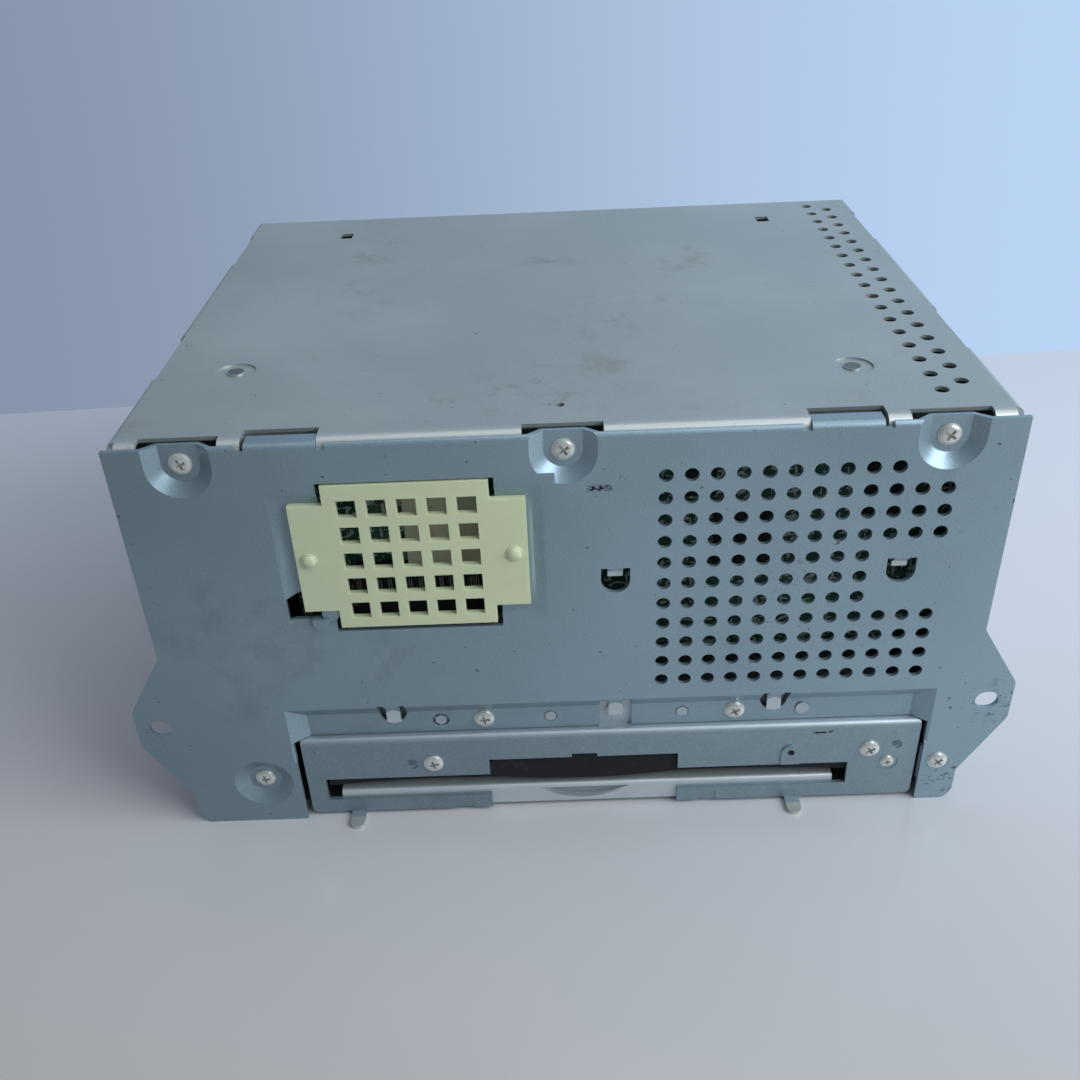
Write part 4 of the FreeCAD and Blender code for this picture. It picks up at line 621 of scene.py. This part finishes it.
# Screws that show.
# Bright zinc-plated screws with a low domed head, a thin flange under it and a crossed driving recess.
zinc = Finish("zinc_plated_screw")
zinc_film = zinc.noise(900, 4, 0.6)
zinc_dirt = zinc.noise(2400, 3, 0.6, shift=(2, 3, 4)).above(0.6, 0.75)
zinc_tone = zinc.mix(zinc_film, (0.62, 0.635, 0.60), (0.78, 0.79, 0.75))
zinc.relief(zinc_film, 0.000006)
zinc.set(base_color=zinc.mix(zinc_dirt * 0.25, zinc_tone, (0.3, 0.3, 0.27)), metallic=0.7)
zinc.set(roughness=0.3 + zinc_dirt * 0.15)


def solids_in(name):
    """Lowest and highest corner of each separate solid of a piece, from left to right."""
    found = bmesh.new()
    found.from_mesh(nodes[name].data)
    bmesh.ops.remove_doubles(found, verts=found.verts, dist=1e-6)
    waiting = set(found.verts)
    boxes = []
    while waiting:
        fresh = [waiting.pop()]
        group = []
        while fresh:
            vertex = fresh.pop()
            group.append(vertex.co.copy())
            for edge in vertex.link_edges:
                other = edge.other_vert(vertex)
                if other in waiting:
                    waiting.remove(other)
                    fresh.append(other)
        low = Vector([min(point[axis] for point in group) for axis in range(3)])
        high = Vector([max(point[axis] for point in group) for axis in range(3)])
        boxes.append((low, high))
    found.free()
    tenth_of_millimetre = 4
    return sorted(boxes, key=lambda box: [round(value, tenth_of_millimetre) for value in box[0]])


def model_screw(radius, height, long, shank):
    """One screw along Z with its seat at 0: flange, dome, crossed recess and a rolled thread."""
    bpy.ops.object.select_all(action="DESELECT")
    bpy.ops.mesh.primitive_cylinder_add(vertices=28, radius=radius, depth=height * 0.4,
                                        location=(0, 0, height * 0.2))
    made = bpy.context.object
    faces_where(made, lambda middle, normal: normal.z > 0.9)
    bpy.ops.mesh.inset(thickness=radius * 0.12)
    bpy.ops.mesh.extrude_region_move(TRANSFORM_OT_translate={"value": (0, 0, height * 0.3)})
    bpy.ops.mesh.inset(thickness=radius * 0.14)
    bpy.ops.transform.translate(value=(0, 0, height * 0.2))
    bpy.ops.mesh.inset(thickness=radius * 0.22)
    bpy.ops.transform.translate(value=(0, 0, height * 0.1))
    faces_where(made, lambda middle, normal: normal.z < -0.9)
    bpy.ops.mesh.inset(thickness=radius - shank)
    pitches = 6
    root = 0.86
    for ring in range(pitches):
        for scale in (root, 1 / root):
            bpy.ops.mesh.extrude_region_move(TRANSFORM_OT_translate={"value": (0, 0, -long / pitches / 2)})
            bpy.ops.transform.resize(value=(scale, scale, 1))
    bpy.ops.object.mode_set(mode="OBJECT")
    for turn in (0, math.pi / 2):
        bpy.ops.object.select_all(action="DESELECT")
        bpy.ops.mesh.primitive_cube_add(size=1, location=(0, 0, height * 0.65), rotation=(0, 0, turn))
        wing = bpy.context.object
        wing.scale = (radius * 1.15, radius * 0.27, height * 1.1)
        settle(wing)
        faces_where(wing, lambda middle, normal: normal.z < -0.9)
        bpy.ops.transform.resize(value=(0.6, 0.7, 1))
        bpy.ops.object.mode_set(mode="OBJECT")
        cut_away(made, wing)
    bpy.ops.object.shade_smooth_by_angle(angle=math.radians(40))
    return made


def place_screws(name, facing, turns):
    """Put a modelled screw in place of each plain one of a group, joined into one piece."""
    axis = Vector(facing)
    main = max(range(3), key=lambda index: abs(axis[index]))
    across = (main + 1) % 3
    upright = axis.to_track_quat("Z", "Y").to_matrix().to_4x4()
    copies = []
    for (low, high), degrees in zip(solids_in(name), turns):
        middle = (low + high) / 2
        radius = max(high[across] - low[across], high[3 - main - across] - low[3 - main - across]) / 2
        height = radius * 0.47
        long = high[main] - low[main] - height
        screw = model_screw(radius, height, long, radius * 0.5)
        outer = high[main] if axis[main] > 0 else low[main]
        seat = middle.copy()
        seat[main] = outer - axis[main] * height
        turn = Matrix.Rotation(math.radians(degrees), 4, "Z")
        screw.matrix_world = Matrix.Translation(seat) @ upright @ turn
        settle(screw)
        copies.append(screw)
    bpy.ops.object.select_all(action="DESELECT")
    for screw in copies:
        screw.select_set(True)
    bpy.context.view_layer.objects.active = copies[0]
    if len(copies) > 1:
        bpy.ops.object.join()
    made = copies[0]
    made.name = name + "_crossed"
    made.data.materials.clear()
    made.data.materials.append(zinc.material)
    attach(made, "chassis")
    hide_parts(name)


place_screws("front_screws", (0, -1, 0), (22, 10, 35, 55, 40))
place_screws("band_screws", (0, -1, 0), (5, 28))
place_screws("bracket_screws", (0, -1, 0), (12, 30, 15))
place_screws("rear_screws", (0, 1, 0), (12, 65, 40, 20, 40, 12))
coat(zinc.material, "side_screws")


# Table, room, light and camera.
# A glossy white table with a painted pool of light toward the back right, in a room that is paler toward the
# right behind it, a broad window-like lamp to the upper right, and the camera that looks down on the front
# plate.
table = Finish("white_table")
table_clouds = table.noise(5, 4, 0.6)
table_specks = table.noise(230, 3, 0.6).above(0.74, 0.79)
# Painted light: the table is painted lighter toward the back right, as if lit from a window there.
painted_window_light = (table.x * 0.5 + table.y * 1.6).above(-0.5, 0.3)
table_tone = table.mix(painted_window_light, (0.43, 0.41, 0.385), (0.63, 0.65, 0.71))
table_tone = table.mix(table_clouds * 0.06, table_tone, (0.3, 0.31, 0.33))
table.set(base_color=table.mix(table_specks * 0.35, table_tone, (0.45, 0.42, 0.37)))
table.set(roughness=0.13 + table_clouds * 0.08)
table_corners = [(-1.4, -1.6, 0), (1.4, -1.6, 0), (1.4, 0.238, 0), (-1.4, 0.0996, 0)]
table_mesh = bpy.data.meshes.new("table_top")
table_mesh.from_pydata(table_corners, [], [range(len(table_corners))])
table_mesh.materials.append(table.material)
table_top = bpy.data.objects.new("table_top", table_mesh)
bpy.context.scene.collection.objects.link(table_top)

room = bpy.data.worlds.new("room")
room.use_nodes = True
looking = room.node_tree.nodes.new("ShaderNodeTexCoord")
parts = room.node_tree.nodes.new("ShaderNodeSeparateXYZ")
room.node_tree.links.new(looking.outputs["Generated"], parts.inputs[0])
sideways, backward, upward = (Shade(room.node_tree, parts.outputs[axis]) for axis in range(3))
left_tone = (0.24, 0.295, 0.40)
right_tone = (0.50, 0.665, 0.92)
room_tone = blended(room.node_tree, sideways.above(-0.50, 0.50), left_tone, right_tone)
toward_wall = backward.above(-0.2, 0.3) * (1 - upward.above(0.35, 0.8))
room_tone = blended(room.node_tree, toward_wall, (0.22, 0.245, 0.29), room_tone)
fill(room.node_tree, room.node_tree.nodes["Background"].inputs["Color"], room_tone)
room.node_tree.nodes["Background"].inputs["Strength"].default_value = 1
bpy.context.scene.world = room


def lamp(name, place, aim, wide, high, watts, tint):
    light = bpy.data.lights.new(name, "AREA")
    light.shape = "RECTANGLE"
    light.size = wide
    light.size_y = high
    light.energy = watts
    light.color = tint
    made = bpy.data.objects.new(name, light)
    bpy.context.scene.collection.objects.link(made)
    made.location = place
    made.rotation_euler = (Vector(aim) - Vector(place)).to_track_quat("-Z", "Y").to_euler()


lamp("window_lamp", (0.70, -0.40, 0.55), (0.02, 0.02, 0.04), 0.8, 0.6, 9, (0.88, 0.95, 1.0))
lamp("ceiling_lamp", (0.25, -0.1, 1.3), (0, 0, 0), 1.4, 1.2, 5, (0.93, 0.97, 1.0))

camera = bpy.data.cameras.new("photo_camera")
camera.sensor_width = 36
camera.lens = 36.975
camera.clip_start = 0.01
photo_camera = bpy.data.objects.new("photo_camera", camera)
bpy.context.scene.collection.objects.link(photo_camera)
photo_camera.location = (-0.002059, -0.270948, 0.198555)
photo_camera.rotation_euler = [math.radians(turn) for turn in (57.5601, 2.2507, -0.4456)]
bpy.context.scene.camera = photo_camera
bpy.context.scene.view_settings.view_transform = "Standard"

bpy.context.view_layer.update()
